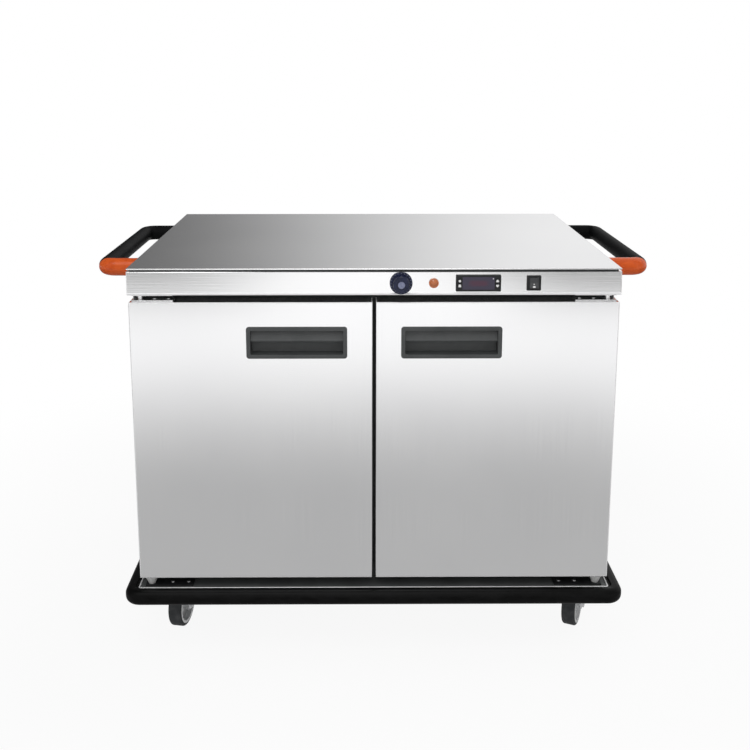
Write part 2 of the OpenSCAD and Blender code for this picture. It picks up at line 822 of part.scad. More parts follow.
module left_door_pull() door_pull(-1);

module left_door_seal() door_seal(-1);

module right_door_skin() door_skin(1);

module right_door_inner_pan() door_inner_pan(1);

module right_door_core() door_core(1);

module right_door_pull() door_pull(1);

module right_door_seal() door_seal(1);

// Rack and shelves

// Channel uprights with tabs at each level, two at each side and two pairs in the middle
module rack_uprights() {
    color("silver") for (side = [-1, 1], y = [rack_front_y, rack_back_y]) on_side(side) {
        upright(cavity_x - upright_d, cavity_x, y, cavity_x - upright_d - tab_l, cavity_x - upright_d);
        upright(0, rack_middle_half, y, rack_middle_half, rack_middle_half + tab_l);
    }
}

module upright(x0, x1, y, tab_x0, tab_x1) {
    difference() {
        box(x0, x1, y, y + upright_w, cavity_z0, cavity_z1);
        box(x0 + sheet, x1 - sheet, y + sheet, y + upright_w + over, cavity_z0 - over, cavity_z1 + over);
    }
    for (level = shelf_levels)
        box(tab_x0, tab_x1, y + tab_t, y + upright_w - tab_t,
            cavity_z0 + level - tab_t, cavity_z0 + level);
}

// Welded wire shelf, its rim resting on the tabs
module wire_shelf() {
    wire_z = shelf_rim_r + shelf_wire_r - weld;
    rim_sweep(shelf_w / 2, shelf_d / 2, shelf_corner_r) translate([-shelf_rim_r, 0]) circle(shelf_rim_r);
    rotate([0, 90, 0]) cylinder(h = shelf_w - 2 * shelf_rim_r, r = shelf_rim_r - weld, center = true);
    for (i = [0:shelf_wires - 1])
        translate([(i - (shelf_wires - 1) / 2) * shelf_pitch, 0, wire_z]) rotate([90, 0, 0])
            cylinder(h = shelf_d - shelf_rim_r, r = shelf_wire_r, center = true);
}

module wire_shelves() {
    color("silver") for (side = [-1, 1], level = shelf_levels) on_side(side)
        translate([(shelf_x0 + shelf_x1) / 2, (shelf_y0 + shelf_y1) / 2, cavity_z0 + level + shelf_rim_r])
            wire_shelf();
}

// Air duct, fan and heater

// Cover on the back wall with the fan's guarded intake in front and outlet slots in its sides
module air_duct() {
    guard_r = fan_r - 4;
    slot_h = 8;
    slot_l = duct_d - 24;
    slots = floor((duct_z1 - duct_z0 - 40) / (3 * slot_h));
    color("lightgray") difference() {
        wide_box(duct_w / 2, duct_front_y, cavity_back_y, duct_z0, duct_z1);
        wide_box(duct_w / 2 - sheet, duct_front_y + sheet, cavity_back_y + over, duct_z0 + sheet, duct_z1 - sheet);
        translate([0, duct_front_y - over, fan_z]) difference() {
            bar_y(guard_r, sheet + 2 * over);
            for (r = [guard_r / 3, guard_r * 2 / 3]) difference() {
                bar_y(r + 2, sheet + 2 * over);
                bar_y(r - 2, sheet + 2 * over);
            }
            for (turn = [0, 90]) rotate([0, turn, 0])
                wide_box(guard_r + over, 0, sheet + 2 * over, -2, 2);
        }
        for (i = [0:slots - 1])
            wide_box(duct_w / 2 + over, duct_front_y + 12, duct_front_y + 12 + slot_l,
                duct_z0 + 20 + slot_h + 3 * i * slot_h, duct_z0 + 20 + 2 * slot_h + 3 * i * slot_h);
    }
}

// Ring heater round the fan, on two legs from a plate on the back wall
module heater_element() {
    leg_x = 20;
    sleeve_r = heater_rod_r + 1.5;
    leg_drop = sqrt(pow(heater_ring_r, 2) - pow(leg_x, 2));
    color("dimgray") {
        translate([0, heater_y, fan_z]) rotate([90, 0, 0])
            rotate_extrude() translate([heater_ring_r, 0]) circle(heater_rod_r);
        for (sx = [-1, 1]) translate([sx * leg_x, heater_y - sleeve_r, fan_z - leg_drop])
            bar_y(sleeve_r, cavity_back_y - 2 - heater_y + sleeve_r);
        wide_box(leg_x + 3 * heater_rod_r, cavity_back_y - 3, cavity_back_y,
            fan_z - leg_drop - 3 * heater_rod_r, fan_z - leg_drop + 3 * heater_rod_r);
    }
}

// Motor in the insulation, with the bore that the fan's shaft turns in
module fan_motor() {
    color("slategray") translate([0, cavity_back_y + sheet, fan_z]) difference() {
        bar_y(motor_r, wall_t - 2 * sheet);
        translate([0, -over, 0]) bar_y(fan_shaft_r + run_clear, wall_t - 4 * sheet);
    }
}

module fan_wheel() {
    color("silver") translate([0, fan_front_y, fan_z]) {
        bar_y(fan_hub_r, fan_l);
        translate([0, fan_l - blade_t, 0]) bar_y(fan_r, blade_t);
        for (i = [0:fan_blades - 1]) rotate([0, i * 360 / fan_blades, 0])
            translate([fan_hub_r - 2, 0, -blade_t / 2]) cube([fan_r - fan_hub_r, fan_l, blade_t]);
        bar_y(fan_shaft_r, cavity_back_y + wall_t - 6 * sheet - fan_front_y);
    }
}

// Open pan for the water that keeps the food moist
module water_tray() {
    color("lightgray") difference() {
        wide_box(tray_w / 2, tray_y1 - tray_d, tray_y1, cavity_z0, cavity_z0 + tray_h);
        wide_box(tray_w / 2 - tray_sheet, tray_y1 - tray_d + tray_sheet, tray_y1 - tray_sheet,
            cavity_z0 + tray_sheet, cavity_z0 + tray_h + over);
    }
}

// Controls

module at_control(x) translate([x, front_y, control_z]) children();

// The four keys' places, as seen from the front
key_places = [[-1, 1], [-1, -1], [1, 1], [1, -1]];

module at_key(i)
    at_control(controller_x) translate([key_places[i][0] * key_x, -bezel_out - key_out, key_places[i][1] * key_dz])
        children();

module controller_case() {
    color([0.13, 0.14, 0.16]) difference() {
        at_control(controller_x) {
            translate([0, -bezel_out, 0]) upright_plate(controller_w, controller_h, bezel_corner_r, bezel_out);
            box(-controller_body_w / 2, controller_body_w / 2, 0, controller_body_l,
                -controller_body_h / 2, controller_body_h / 2);
        }
        for (i = [0:3]) at_key(i)
            upright_plate(key_side + 2 * gap, key_side + 2 * gap, 1, key_out + bezel_out - key_floor_t);
        at_control(controller_x) translate([0, -bezel_out - over, 0])
            upright_plate(window_w, window_h, 1, window_t + over);
    }
}

module controller_window() {
    color([0.25, 0.2, 0.27]) at_control(controller_x) translate([0, -bezel_out, 0])
        upright_plate(window_w, window_h, 1, window_t);
}

module key(i)
    color("whitesmoke") at_key(i) upright_plate(key_side, key_side, 1, key_l);

module set_key() key(0);

module light_key() key(1);

module up_key() key(2);

module down_key() key(3);

module switch_housing() {
    color([0.1, 0.1, 0.11]) at_control(switch_x) difference() {
        union() {
            translate([0, -switch_bezel_t, 0])
                upright_plate(switch_w, switch_h, bezel_corner_r, switch_bezel_t);
            box(-switch_w / 2 + 2, switch_w / 2 - 2, 0, switch_body_l, -switch_h / 2 + 2, switch_h / 2 - 2);
        }
        box(-rocker_w / 2 - gap, rocker_w / 2 + gap, -switch_bezel_t - over, rocker_well_d,
            -rocker_h / 2 - 4 * gap, rocker_h / 2 + 4 * gap);
        translate([0, rocker_axis_y - front_y, 0]) rotate([0, 90, 0])
            cylinder(h = rocker_w + 2 * rocker_pin_l + 2 * gap, r = rocker_pin_r + run_clear, center = true);
    }
}

// Rocker on two side pins, with a shallow V in front, at rest with its upper half pressed in
module switch_rocker() {
    tip = switch_bezel_t + 3;
    middle = switch_bezel_t + 0.5;
    color([0.16, 0.16, 0.17]) translate([switch_x, rocker_axis_y, control_z]) rotate([-rocker_tilt, 0, 0]) {
        rotate([90, 0, 90]) linear_extrude(rocker_w, center = true) polygon([
            [-1 - tip, rocker_h / 2],
            [-1 - middle, 0],
            [-1 - tip, -rocker_h / 2],
            [2, -rocker_h / 2 + 1],
            [6, 0],
            [2, rocker_h / 2 - 1]
        ]);
        rotate([0, 90, 0]) cylinder(h = rocker_w + 2 * rocker_pin_l, r = rocker_pin_r, center = true);
    }
}

// Pilot lamp with a domed lens
module pilot_lamp() {
    dome_r = (pow(lamp_hole_r, 2) + pow(dome_h, 2)) / (2 * dome_h);
    color([0.85, 0.45, 0.2]) at_control(lamp_x) {
        translate([0, -lamp_bezel_t, 0]) bar_y(lamp_r, lamp_bezel_t);
        bar_y(lamp_hole_r, lamp_body_l);
        intersection() {
            translate([0, dome_r - lamp_bezel_t - dome_h, 0]) sphere(dome_r);
            translate([0, -lamp_bezel_t - dome_h, 0]) bar_y(lamp_r, dome_h + 1);
        }
    }
}

module thermostat_body() {
    color([0.3, 0.3, 0.32]) difference() {
        at_control(knob_x)
            box(-thermostat_w / 2, thermostat_w / 2, sheet, sheet + thermostat_l,
                -thermostat_h / 2 + 4, thermostat_h / 2 + 4);
        at_control(knob_x) translate([0, -over, 0]) bar_y(knob_shaft_r + run_clear, thermostat_l - 4);
    }
}

// Fluted knob on its skirt, with a raised middle and its shaft
module thermostat_knob() {
    flutes = 12;
    grip_r = knob_r - 4;
    color([0.07, 0.09, 0.16]) at_control(knob_x) {
        translate([0, -gap - knob_skirt_t, 0]) bar_y(knob_r, knob_skirt_t);
        difference() {
            translate([0, -gap - knob_out, 0]) rotate([-90, 0, 0])
                cylinder(h = knob_out - knob_skirt_t, r1 = grip_r - 3, r2 = grip_r);
            for (i = [0:flutes - 1]) rotate([0, i * 360 / flutes, 0])
                translate([grip_r + 1.5, -gap - knob_out - over, 0]) bar_y(3, knob_out - knob_skirt_t + over);
        }
        translate([0, -gap - knob_out - 1.5, 0]) bar_y(knob_cap_r, 3);
        translate([0, -gap - knob_skirt_t, 0]) bar_y(knob_shaft_r, thermostat_l - 8);
    }
}

// Appliance inlet in the back, with three contacts in its socket
module power_inlet() {
    socket_w = 24;
    socket_h = 16;
    socket_d = 20;
    color([0.1, 0.1, 0.11]) translate([inlet_x, back_y, inlet_z]) {
        difference() {
            union() {
                upright_plate(inlet_w, inlet_h, 3, inlet_flange_t);
                translate([0, -inlet_body_l, 0])
                    upright_plate(inlet_w - 12, inlet_h - 6, 3, inlet_body_l);
            }
            translate([0, inlet_flange_t - socket_d, 0]) upright_plate(socket_w, socket_h, 2, socket_d + over);
        }
        for (i = [-1, 0, 1])
            box(7 * i - 1, 7 * i + 1, inlet_flange_t - socket_d - over, inlet_flange_t - 6,
                i == 0 ? 1 : -4, i == 0 ? 5 : 0);
    }
}

// Castors

castor_ends = [[-1, -1, yaw_front_left], [1, -1, yaw_front_right], [-1, 1, yaw_rear_left], [1, 1, yaw_rear_right]];

// Puts a castor's piece at its swivel axis, turned to its place at rest
module at_castor(i)
    translate([castor_ends[i][0] * castor_x, castor_ends[i][1] * castor_y, 0]) children();

module turned(i) at_castor(i) rotate(castor_ends[i][2]) children();

// Top plates with the upper races, kingpins and bolts
module castor_plates() {
    color("silver") for (i = [0:3]) at_castor(i) {
        translate([0, 0, castor_h - fork_t]) linear_extrude(fork_t) rounded_rect(plate_w, plate_d, 8);
        translate([0, 0, castor_h - fork_t - race_h]) cylinder(h = race_h, r = race_r);
        translate([0, 0, crown_z - gap - pin_head_h])
            cylinder(h = castor_h - fork_t - crown_z + gap + pin_head_h, r = kingpin_r);
        translate([0, 0, crown_z - gap - pin_head_h]) cylinder(h = pin_head_h, r = kingpin_r + 4);
        for (sx = [-1, 1], sy = [-1, 1])
            translate([sx * (plate_w / 2 - 12), sy * (plate_d / 2 - 12), castor_h - fork_t - 4])
                cylinder(h = 4, r = plate_bolt_r, $fn = 6);
    }
}

// Outline of a fork leg, seen from the side: from the crown down to the axle, with an ear for the pedal
module leg_outline(braked) {
    translate([castor_trail, wheel_r]) circle(boss_r);
    polygon([
        [-race_r + 4, crown_z + 1],
        [castor_trail - boss_r, wheel_r],
        [castor_trail + boss_r, wheel_r],
        [race_r, crown_z - 12],
        [race_r, crown_z + 1]
    ]);
    if (braked) {
        translate([pedal_y, pedal_z]) circle(pedal_eye_r);
        polygon([
            [0, crown_z + 1],
            [castor_trail, wheel_r + boss_r],
            [pedal_y, pedal_z - pedal_eye_r],
            [pedal_y, pedal_z + pedal_eye_r],
            [race_r, crown_z + 1]
        ]);
    }
}

// Fork with its crown, its two legs and the axle between them
module fork(i) {
    braked = castor_ends[i][1] < 0;
    color("silver") turned(i) {
        difference() {
            union() {
                translate([0, 0, crown_z]) cylinder(h = crown_h, r = race_r + 3);
                for (sx = [-1, 1]) translate([sx * (fork_gap + fork_t) / 2, 0, 0]) rotate([90, 0, 90])
                    linear_extrude(fork_t, center = true) leg_outline(braked);
            }
            translate([0, 0, crown_z - over])
                cylinder(h = crown_h + 2 * over, r = kingpin_r + run_clear);
            translate([0, pedal_y, pedal_z]) rotate([0, 90, 0])
                cylinder(h = 2 * fork_gap, r = pedal_pin_r + run_clear, center = true);
        }
        translate([0, castor_trail, wheel_r]) rotate([0, 90, 0]) {
            cylinder(h = fork_gap + 2 * fork_t, r = axle_r, center = true);
            for (end = [-1, 1]) translate([0, 0, end * (fork_gap / 2 + fork_t + axle_nut_h / 2)])
                cylinder(h = axle_nut_h, r = axle_r + 3, center = true, $fn = 6);
        }
    }
}

module on_axle(i) turned(i) translate([0, castor_trail, wheel_r]) rotate([0, 90, 0]) children();

// Wheel core: hub, web and rim in one turned section, with flanges that hold the tread
module wheel(i) {
    rim_r = wheel_r - tread_t;
    bore_r = axle_r + run_clear;
    color("lightgray") on_axle(i) rotate_extrude() {
        translate([bore_r, -hub_w / 2]) square([hub_r - bore_r, hub_w]);
        translate([hub_r - 1, -web_t / 2]) square([rim_r - hub_r, web_t]);
        translate([rim_r - rim_t, -tread_w / 2]) square([rim_t - tread_fit, tread_w]);
        for (z = [-tread_w / 2, tread_w / 2 - rim_flange_t])
            translate([rim_r - rim_t, z]) square([rim_t + rim_flange_out, rim_flange_t]);
    }
}

module tyre(i) {
    rim_r = wheel_r - tread_t;
    out_r = rim_r + rim_flange_out + tread_fit;
    color([0.25, 0.26, 0.27]) on_axle(i) rotate_extrude() {
        translate([rim_r, -tread_w / 2 + rim_flange_t])
            square([tread_t - tread_edge_r, tread_w - 2 * rim_flange_t]);
        translate([out_r, -tread_w / 2]) square([wheel_r - tread_edge_r - out_r, tread_w]);
        translate([out_r, -tread_w / 2 + tread_edge_r]) square([wheel_r - out_r, tread_w - 2 * tread_edge_r]);
        for (end = [-1, 1]) translate([wheel_r - tread_edge_r, end * (tread_w / 2 - tread_edge_r)])
            circle(tread_edge_r);
    }
}

// Foot pedal on its pin between the fork's ears
module brake_pedal(i) {
    pedal_w = fork_gap - 2;
    color("dimgray") turned(i) translate([0, pedal_y, pedal_z]) {
        rotate([0, 90, 0]) cylinder(h = fork_gap + 2 * fork_t + 2, r = pedal_pin_r, center = true);
        rotate([90, 0, 90]) linear_extrude(pedal_w, center = true) {
            circle(pedal_eye_r - 1);
            polygon([
                [0, pedal_eye_r - 1],
                [0, pedal_eye_r - 1 - pedal_arm_t],
                [pedal_arm_l, -pedal_arm_t],
                [pedal_arm_l + 4, 0],
                [pedal_arm_l, 2]
            ]);
        }
    }
}

module fork_front_left() fork(0);

module fork_front_right() fork(1);

module fork_rear_left() fork(2);

module fork_rear_right() fork(3);

module wheel_front_left() wheel(0);

module wheel_front_right() wheel(1);

module wheel_rear_left() wheel(2);

module wheel_rear_right() wheel(3);

module tyre_front_left() tyre(0);

module tyre_front_right() tyre(1);

module tyre_rear_left() tyre(2);

module tyre_rear_right() tyre(3);

module brake_pedal_left() brake_pedal(0);

module brake_pedal_right() brake_pedal(1);

worktop();
control_fascia();
cabinet_wrap();
front_frame();
cabinet_liner();
insulation();
base_frame();
base_edge_trim();
bumper();
handle_grip_left();
handle_grip_right();
handle_covers();
top_hinge_brackets();
bottom_hinge_brackets();
rack_uprights();
wire_shelves();
air_duct();
heater_element();
fan_motor();
water_tray();
controller_case();
controller_window();
switch_housing();
pilot_lamp();
thermostat_body();
power_inlet();
castor_plates();
left_door_skin();
left_door_inner_pan();
left_door_core();
left_door_pull();
left_door_seal();
left_door_pivots();
right_door_skin();
right_door_inner_pan();
right_door_core();
right_door_pull();
right_door_seal();
right_door_pivots();
thermostat_knob();
switch_rocker();
set_key();
light_key();
up_key();
down_key();
fan_wheel();
fork_front_left();
fork_front_right();
fork_rear_left();
fork_rear_right();
wheel_front_left();
wheel_front_right();
wheel_rear_left();
wheel_rear_right();
tyre_front_left();
tyre_front_right();
tyre_rear_left();
tyre_rear_right();
brake_pedal_left();
brake_pedal_right();
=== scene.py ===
import json

import bmesh
import bpy
from math import cos, pi, radians, sin
from mathutils import Matrix, Vector


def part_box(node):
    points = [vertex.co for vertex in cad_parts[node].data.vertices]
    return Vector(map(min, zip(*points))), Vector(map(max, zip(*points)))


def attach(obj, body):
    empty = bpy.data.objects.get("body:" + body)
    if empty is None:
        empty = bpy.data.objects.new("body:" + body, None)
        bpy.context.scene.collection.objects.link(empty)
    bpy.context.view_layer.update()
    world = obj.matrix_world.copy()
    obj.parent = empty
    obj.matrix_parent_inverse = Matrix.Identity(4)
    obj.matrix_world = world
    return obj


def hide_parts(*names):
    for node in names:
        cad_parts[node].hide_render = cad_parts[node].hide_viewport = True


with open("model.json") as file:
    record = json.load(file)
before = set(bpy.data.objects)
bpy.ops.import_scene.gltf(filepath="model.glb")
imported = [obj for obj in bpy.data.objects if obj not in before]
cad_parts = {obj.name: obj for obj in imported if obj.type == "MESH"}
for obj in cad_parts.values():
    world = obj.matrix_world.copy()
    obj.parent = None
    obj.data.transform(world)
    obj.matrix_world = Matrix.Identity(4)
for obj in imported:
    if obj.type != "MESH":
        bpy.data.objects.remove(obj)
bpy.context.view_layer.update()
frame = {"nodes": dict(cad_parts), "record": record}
scene = bpy.context.scene


# Camera. The doors are seen from straight in front and a little above the worktop. The picture's uprights
# don't converge, so the lens is shifted down, as far as the views from other sides allow.
eye_point = (-0.029, -2.251, 1.264)
turned_right, tipped_down = 0.34, 10.15
camera_data = bpy.data.cameras.new("camera")
camera_data.lens = 46.41
camera_data.sensor_width = 36
camera_data.shift_x = 0.0126
camera_data.shift_y = -0.19
camera_data.clip_start = 0.05
camera_data.clip_end = 60
camera = bpy.data.objects.new("camera", camera_data)
camera.matrix_world = (
    Matrix.Translation(eye_point)
    @ Matrix.Rotation(radians(-turned_right), 4, "Z")
    @ Matrix.Rotation(radians(90 - tipped_down), 4, "X")
)
scene.collection.objects.link(camera)
scene.camera = camera
scene.view_settings.view_transform = "Standard"


# Studio. A plain white floor runs out of sight in a white room, under one large soft box. What the steel
# mirrors is shaded: the room is dim behind the left side and has a bright panel in front, and the floor
# darkens close to the cart, beside it and in its far front corners.
class Wire:
    """The value of one socket, with the sums that a pattern needs."""

    def __init__(self, nodes, socket):
        self.nodes = nodes
        self.socket = socket

    def maths(self, operation, *values):
        return self.nodes.node("ShaderNodeMath", {"operation": operation}, *values)

    def __add__(self, other):
        return self.maths("ADD", self, other)

    def __radd__(self, other):
        return self.maths("ADD", other, self)

    def __sub__(self, other):
        return self.maths("SUBTRACT", self, other)

    def __rsub__(self, other):
        return self.maths("SUBTRACT", other, self)

    def __mul__(self, other):
        return self.maths("MULTIPLY", self, other)

    def __rmul__(self, other):
        return self.maths("MULTIPLY", other, self)

    def __truediv__(self, other):
        return self.maths("DIVIDE", self, other)

    def __pow__(self, power):
        return self.maths("POWER", self, power)

    def __abs__(self):
        return self.maths("ABSOLUTE", self)

    def at_least(self, least):
        return self.maths("MAXIMUM", self, least)

    def rises(self, start, end):
        """Goes smoothly from 0 at start to 1 at end."""
        smooth = {"interpolation_type": "SMOOTHSTEP"}
        return self.nodes.node("ShaderNodeMapRange", smooth, self, start, end, 0.0, 1.0)

    def beside(self, name):
        """Another output of the node that this value comes from."""
        return Wire(self.nodes, self.socket.node.outputs[name])


class Nodes:
    """A node tree, and the one way that nodes go into it."""

    def __init__(self, tree):
        self.tree = tree

    def node(self, kind, settings, *values, out=0, **named):
        """A node of that kind: its settings first, then its sockets in order or by name."""
        made = self.tree.nodes.new(kind)
        for name, value in settings.items():
            if name == "stops":
                ramp = made.color_ramp.elements
                while len(ramp) < len(value):
                    ramp.new(0.5)
                for stop, (position, shade) in zip(ramp, value):
                    stop.position = position
                    stop.color = (*shade, 1)
            else:
                setattr(made, name, value)
        for order, value in enumerate(values):
            self.feed(made.inputs[order], value)
        for name, value in named.items():
            self.feed(made.inputs[name.replace("_", " ")], value)
        return Wire(self, made.outputs[out])

    def feed(self, socket, value):
        if isinstance(value, Wire):
            self.tree.links.new(value.socket, socket)
        else:
            socket.default_value = value


world = bpy.data.worlds.new("studio")
scene.world = world
world.use_nodes = True
world.node_tree.nodes.remove(world.node_tree.nodes["Background"])
room = Nodes(world.node_tree)
across = room.node("ShaderNodeSeparateXYZ", {}, room.node("ShaderNodeTexCoord", {}, out="Generated"))
along = across.beside("Y")
dim_wall, bright_wall = 0.13, 0.93
wall_brightens = (-0.26, 0.22)
behind = dim_wall + (bright_wall - dim_wall) * across.rises(*wall_brightens)
panel_glow, gap_glow, side_glow = 1.9, 0.3, 0.8
panel_ends, side_starts, side_ends = (0.03, 0.3), (0.5, 0.9), (1.4, 3.0)
never_zero = 0.001
aside = abs(across) / (abs(along) + never_zero)
before = (
    panel_glow
    - (panel_glow - gap_glow) * aside.rises(*panel_ends)
    + (side_glow - gap_glow) * aside.rises(*side_starts)
    - (side_glow - gap_glow) * aside.rises(*side_ends)
)
front_blend = 0.08
in_front = 1 - along.rises(-front_blend, front_blend)
mirrored_room = room.node("ShaderNodeBackground", {}, (1, 1, 1, 1), behind + (before - behind) * in_front)
seen_room = room.node("ShaderNodeBackground", {}, (1, 1, 1, 1), 1.0)
room_to_eye = room.node("ShaderNodeLightPath", {}, out="Is Camera Ray")
room.feed(
    world.node_tree.nodes["World Output"].inputs["Surface"],
    room.node("ShaderNodeMixShader", {}, room_to_eye, mirrored_room, seen_room),
)

chassis_low, chassis_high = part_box("base_frame")
side_x, back_y, deck_z = chassis_high
floor_reach = 14
floor_corners = [(x * floor_reach, y * floor_reach, 0) for x, y in ((-1, -1), (1, -1), (1, 1), (-1, 1))]
floor_mesh = bpy.data.meshes.new("floor")
floor_mesh.from_pydata(floor_corners, [], [(0, 1, 2, 3)])
floor = bpy.data.objects.new("floor", floor_mesh)
scene.collection.objects.link(floor)
floor_paint = bpy.data.materials.new("studio_floor")
floor_paint.use_nodes = True
floor_paint.node_tree.nodes.remove(floor_paint.node_tree.nodes["Principled BSDF"])
floor_mesh.materials.append(floor_paint)
paint = Nodes(floor_paint.node_tree)
spot_x = paint.node("ShaderNodeSeparateXYZ", {}, paint.node("ShaderNodeTexCoord", {}, out="Object"))
spot_y = spot_x.beside("Y")
to_front = 0 - spot_y
past_side = (abs(spot_x) - side_x).at_least(0.0)
past_front = (abs(spot_y) - back_y).at_least(0.0)
away = (past_side * past_side + past_front * past_front) ** 0.5
near_glow = 0.47
middle_glow, middle_rises = 0.62, (0.75, 2.3)
far_glow, far_rises = 0.08, (1.7, 3.1)
floor_glow = near_glow + middle_glow * away.rises(*middle_rises) + far_glow * away.rises(*far_rises)
corner_shade = 0.76
corner_aside, corner_ahead = (0.36, 1.25), (3.44, 3.84)
corners = abs(spot_x).rises(*corner_aside) * to_front.rises(*corner_ahead)
flank_shade = 0.82
flank_starts, flank_ends, flank_front = (0.25, 0.9), (3.2, 5.0), (0.5, 1.3)
beside_cart = past_side.rises(*flank_starts) * (1 - past_side.rises(*flank_ends))
flank = beside_cart * (1 - to_front.rises(*flank_front))
shaded_glow = floor_glow * (1 - corner_shade * corners) * (1 - flank_shade * flank)
mirrored_floor = paint.node("ShaderNodeEmission", {}, (1, 1, 1, 1), shaded_glow)
seen_floor = paint.node("ShaderNodeEmission", {}, (1, 1, 1, 1), 1.0)
floor_grey = 0.8
matt_floor = paint.node("ShaderNodeBsdfDiffuse", {}, (floor_grey, floor_grey, floor_grey, 1))
floor_to_eye = paint.node("ShaderNodeLightPath", {}, out="Is Camera Ray")
floor_to_steel = floor_to_eye.beside("Is Glossy Ray") + floor_to_eye.beside("Is Transmission Ray")
plain_share = 0.92
shadow_ends = (0.1, 1.2)
shadow_free = plain_share + (1 - plain_share) * away.rises(*shadow_ends)
ground = paint.node("ShaderNodeMixShader", {}, plain_share * floor_to_steel, matt_floor, mirrored_floor)
paint.feed(
    floor_paint.node_tree.nodes["Material Output"].inputs["Surface"],
    paint.node("ShaderNodeMixShader", {}, floor_to_eye * shadow_free, ground, seen_floor),
)

soft_box = bpy.data.lights.new("soft_box", "AREA")
soft_box.shape = "RECTANGLE"
soft_box.size = 2.4
soft_box.size_y = 1.6
soft_box.energy = 26
lit_point = Vector((0, 0, 0.6))
overhead = bpy.data.objects.new("soft_box", soft_box)
overhead.location = (-0.5, -1.9, 3.3)
overhead.rotation_euler = (lit_point - overhead.location).to_track_quat("-Z", "Y").to_euler()
scene.collection.objects.link(overhead)


# Castors. Swivel castors with a pressed zinc fork, a bright moulded wheel and a grey rubber tread, each
# bolted under the chassis by its plate. The front pair has a foot brake.
class Finish(Nodes):
    """A material with one Principled shader, and the patterns that feed it."""

    def __init__(self, name, color, **constants):
        self.material = bpy.data.materials.new(name)
        self.material.use_nodes = True
        self.material.diffuse_color = (*color, 1)
        super().__init__(self.material.node_tree)
        self.shader = self.tree.nodes["Principled BSDF"]
        for socket, value in {"Base_Color": (*color, 1), **constants}.items():
            self.shader.inputs[socket.replace("_", " ")].default_value = value

    def looks(self, **sockets):
        """Feeds the shader's sockets that vary over the surface."""
        for socket, value in sockets.items():
            self.feed(self.shader.inputs[socket.replace("_", " ")], value)

    def noise(self, scale, stretch=(1, 1, 1), detail=2.0):
        """Noise in the piece's own metres, each axis stretched."""
        point = self.node(
            "ShaderNodeMapping", {}, self.node("ShaderNodeTexCoord", {}, out="Object"), Scale=stretch
        )
        return self.node("ShaderNodeTexNoise", {}, Vector=point, Scale=scale, Detail=detail)

    def between(self, value, first, last, start=0.3, end=0.7):
        """The first colour up to the value start, the last from the value end."""
        return self.node("ShaderNodeValToRGB", {"stops": ((start, first), (end, last))}, value)

    def bump(self, height, depth):
        """Relief of that depth in metres."""
        return self.node("ShaderNodeBump", {}, Height=height, Strength=1.0, Distance=depth)


body_of = {node: body for body, nodes in frame["record"]["behaviour"]["bodies"].items() for node in nodes}


def new_piece(name, mesh, node, *finishes, slot=None):
    """A shown piece on the body of that node, with its finishes. The slot argument is not used."""
    piece = bpy.data.objects.new(name, mesh)
    scene.collection.objects.link(piece)
    mesh.materials.clear()
    for finish in finishes:
        mesh.materials.append(finish.material)
    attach(piece, body_of[node])
    return piece


def softened(node, finish, radius=0.0, where=None, also=()):
    """The CAD node's own form with its edges rounded over, all or those whose middle passes where. Faces
    whose middle passes a test in also take the finish beside it."""
    weld, flat, crease = 0.000004, radians(0.6), radians(32)
    mesh = frame["nodes"][node].data.copy()
    mesh.name = node + "_form"
    form = bmesh.new()
    form.from_mesh(mesh)
    bmesh.ops.remove_doubles(form, verts=form.verts, dist=weld)
    bmesh.ops.dissolve_limit(form, angle_limit=flat, verts=form.verts, edges=form.edges)
    weight = form.edges.layers.float.new("bevel_weight_edge")
    for edge in form.edges:
        middle = (edge.verts[0].co + edge.verts[1].co) / 2
        folded = len(edge.link_faces) == 2 and edge.calc_face_angle(0) > crease
        edge[weight] = float(folded and (where is None or where(middle)))
    form.to_mesh(mesh)
    form.free()
    mesh.shade_smooth()
    mesh.set_sharp_from_angle(angle=crease)
    piece = new_piece(node + "_form", mesh, node, finish, *(extra for extra, _ in also))
    for face in mesh.polygons:
        face.material_index = next((i + 1 for i, (_, test) in enumerate(also) if test(face.center)), 0)
    if radius:
        edges = piece.modifiers.new("rounded_edges", "BEVEL")
        edges.width = radius
        edges.segments = 2
        edges.limit_method = "WEIGHT"
        edges.use_clamp_overlap = False
        edges.harden_normals = True
    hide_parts(node)
    return piece


zinc = Finish("bright_zinc", (0.85, 0.86, 0.87), Metallic=0.85)
zinc_cloud = zinc.noise(60, detail=4.0)
zinc.looks(
    Base_Color=zinc.between(zinc_cloud, (0.76, 0.77, 0.79), (0.92, 0.92, 0.93)),
    Roughness=0.16 + zinc_cloud * 0.2,
    Normal=zinc.bump(zinc.noise(900, detail=1.0), 0.00001),
)
tread = Finish("grey_tread", (0.05, 0.053, 0.058), Specular_IOR_Level=0.3)
tread_dust = tread.noise(45, detail=5.0)
tread.looks(
    Base_Color=tread.between(tread_dust, (0.03, 0.033, 0.036), (0.075, 0.078, 0.08), start=0.35, end=0.75),
    Roughness=0.5 + tread_dust * 0.25,
    Normal=tread.bump(tread.noise(1400), 0.00003),
)
moulding = Finish("bright_moulding", (0.84, 0.845, 0.85), Metallic=0.7)
moulding_cloud = moulding.noise(70, detail=3.0)
moulding.looks(
    Base_Color=moulding.between(moulding_cloud, (0.81, 0.815, 0.82), (0.86, 0.865, 0.87)),
    Roughness=0.26 + moulding_cloud * 0.06,
    Normal=moulding.bump(moulding.noise(1800, detail=1.0), 0.00002),
)
pedal_paint = Finish("pedal_paint", (0.05, 0.05, 0.052))
pedal_dust = pedal_paint.noise(90)
pedal_paint.looks(
    Base_Color=pedal_paint.between(pedal_dust, (0.035, 0.035, 0.037), (0.08, 0.08, 0.08), end=0.8),
    Roughness=0.35 + pedal_paint.noise(120) * 0.25,
    Normal=pedal_paint.bump(pedal_paint.noise(700), 0.00004),
)
softened("castor_plates", zinc, radius=0.0006)
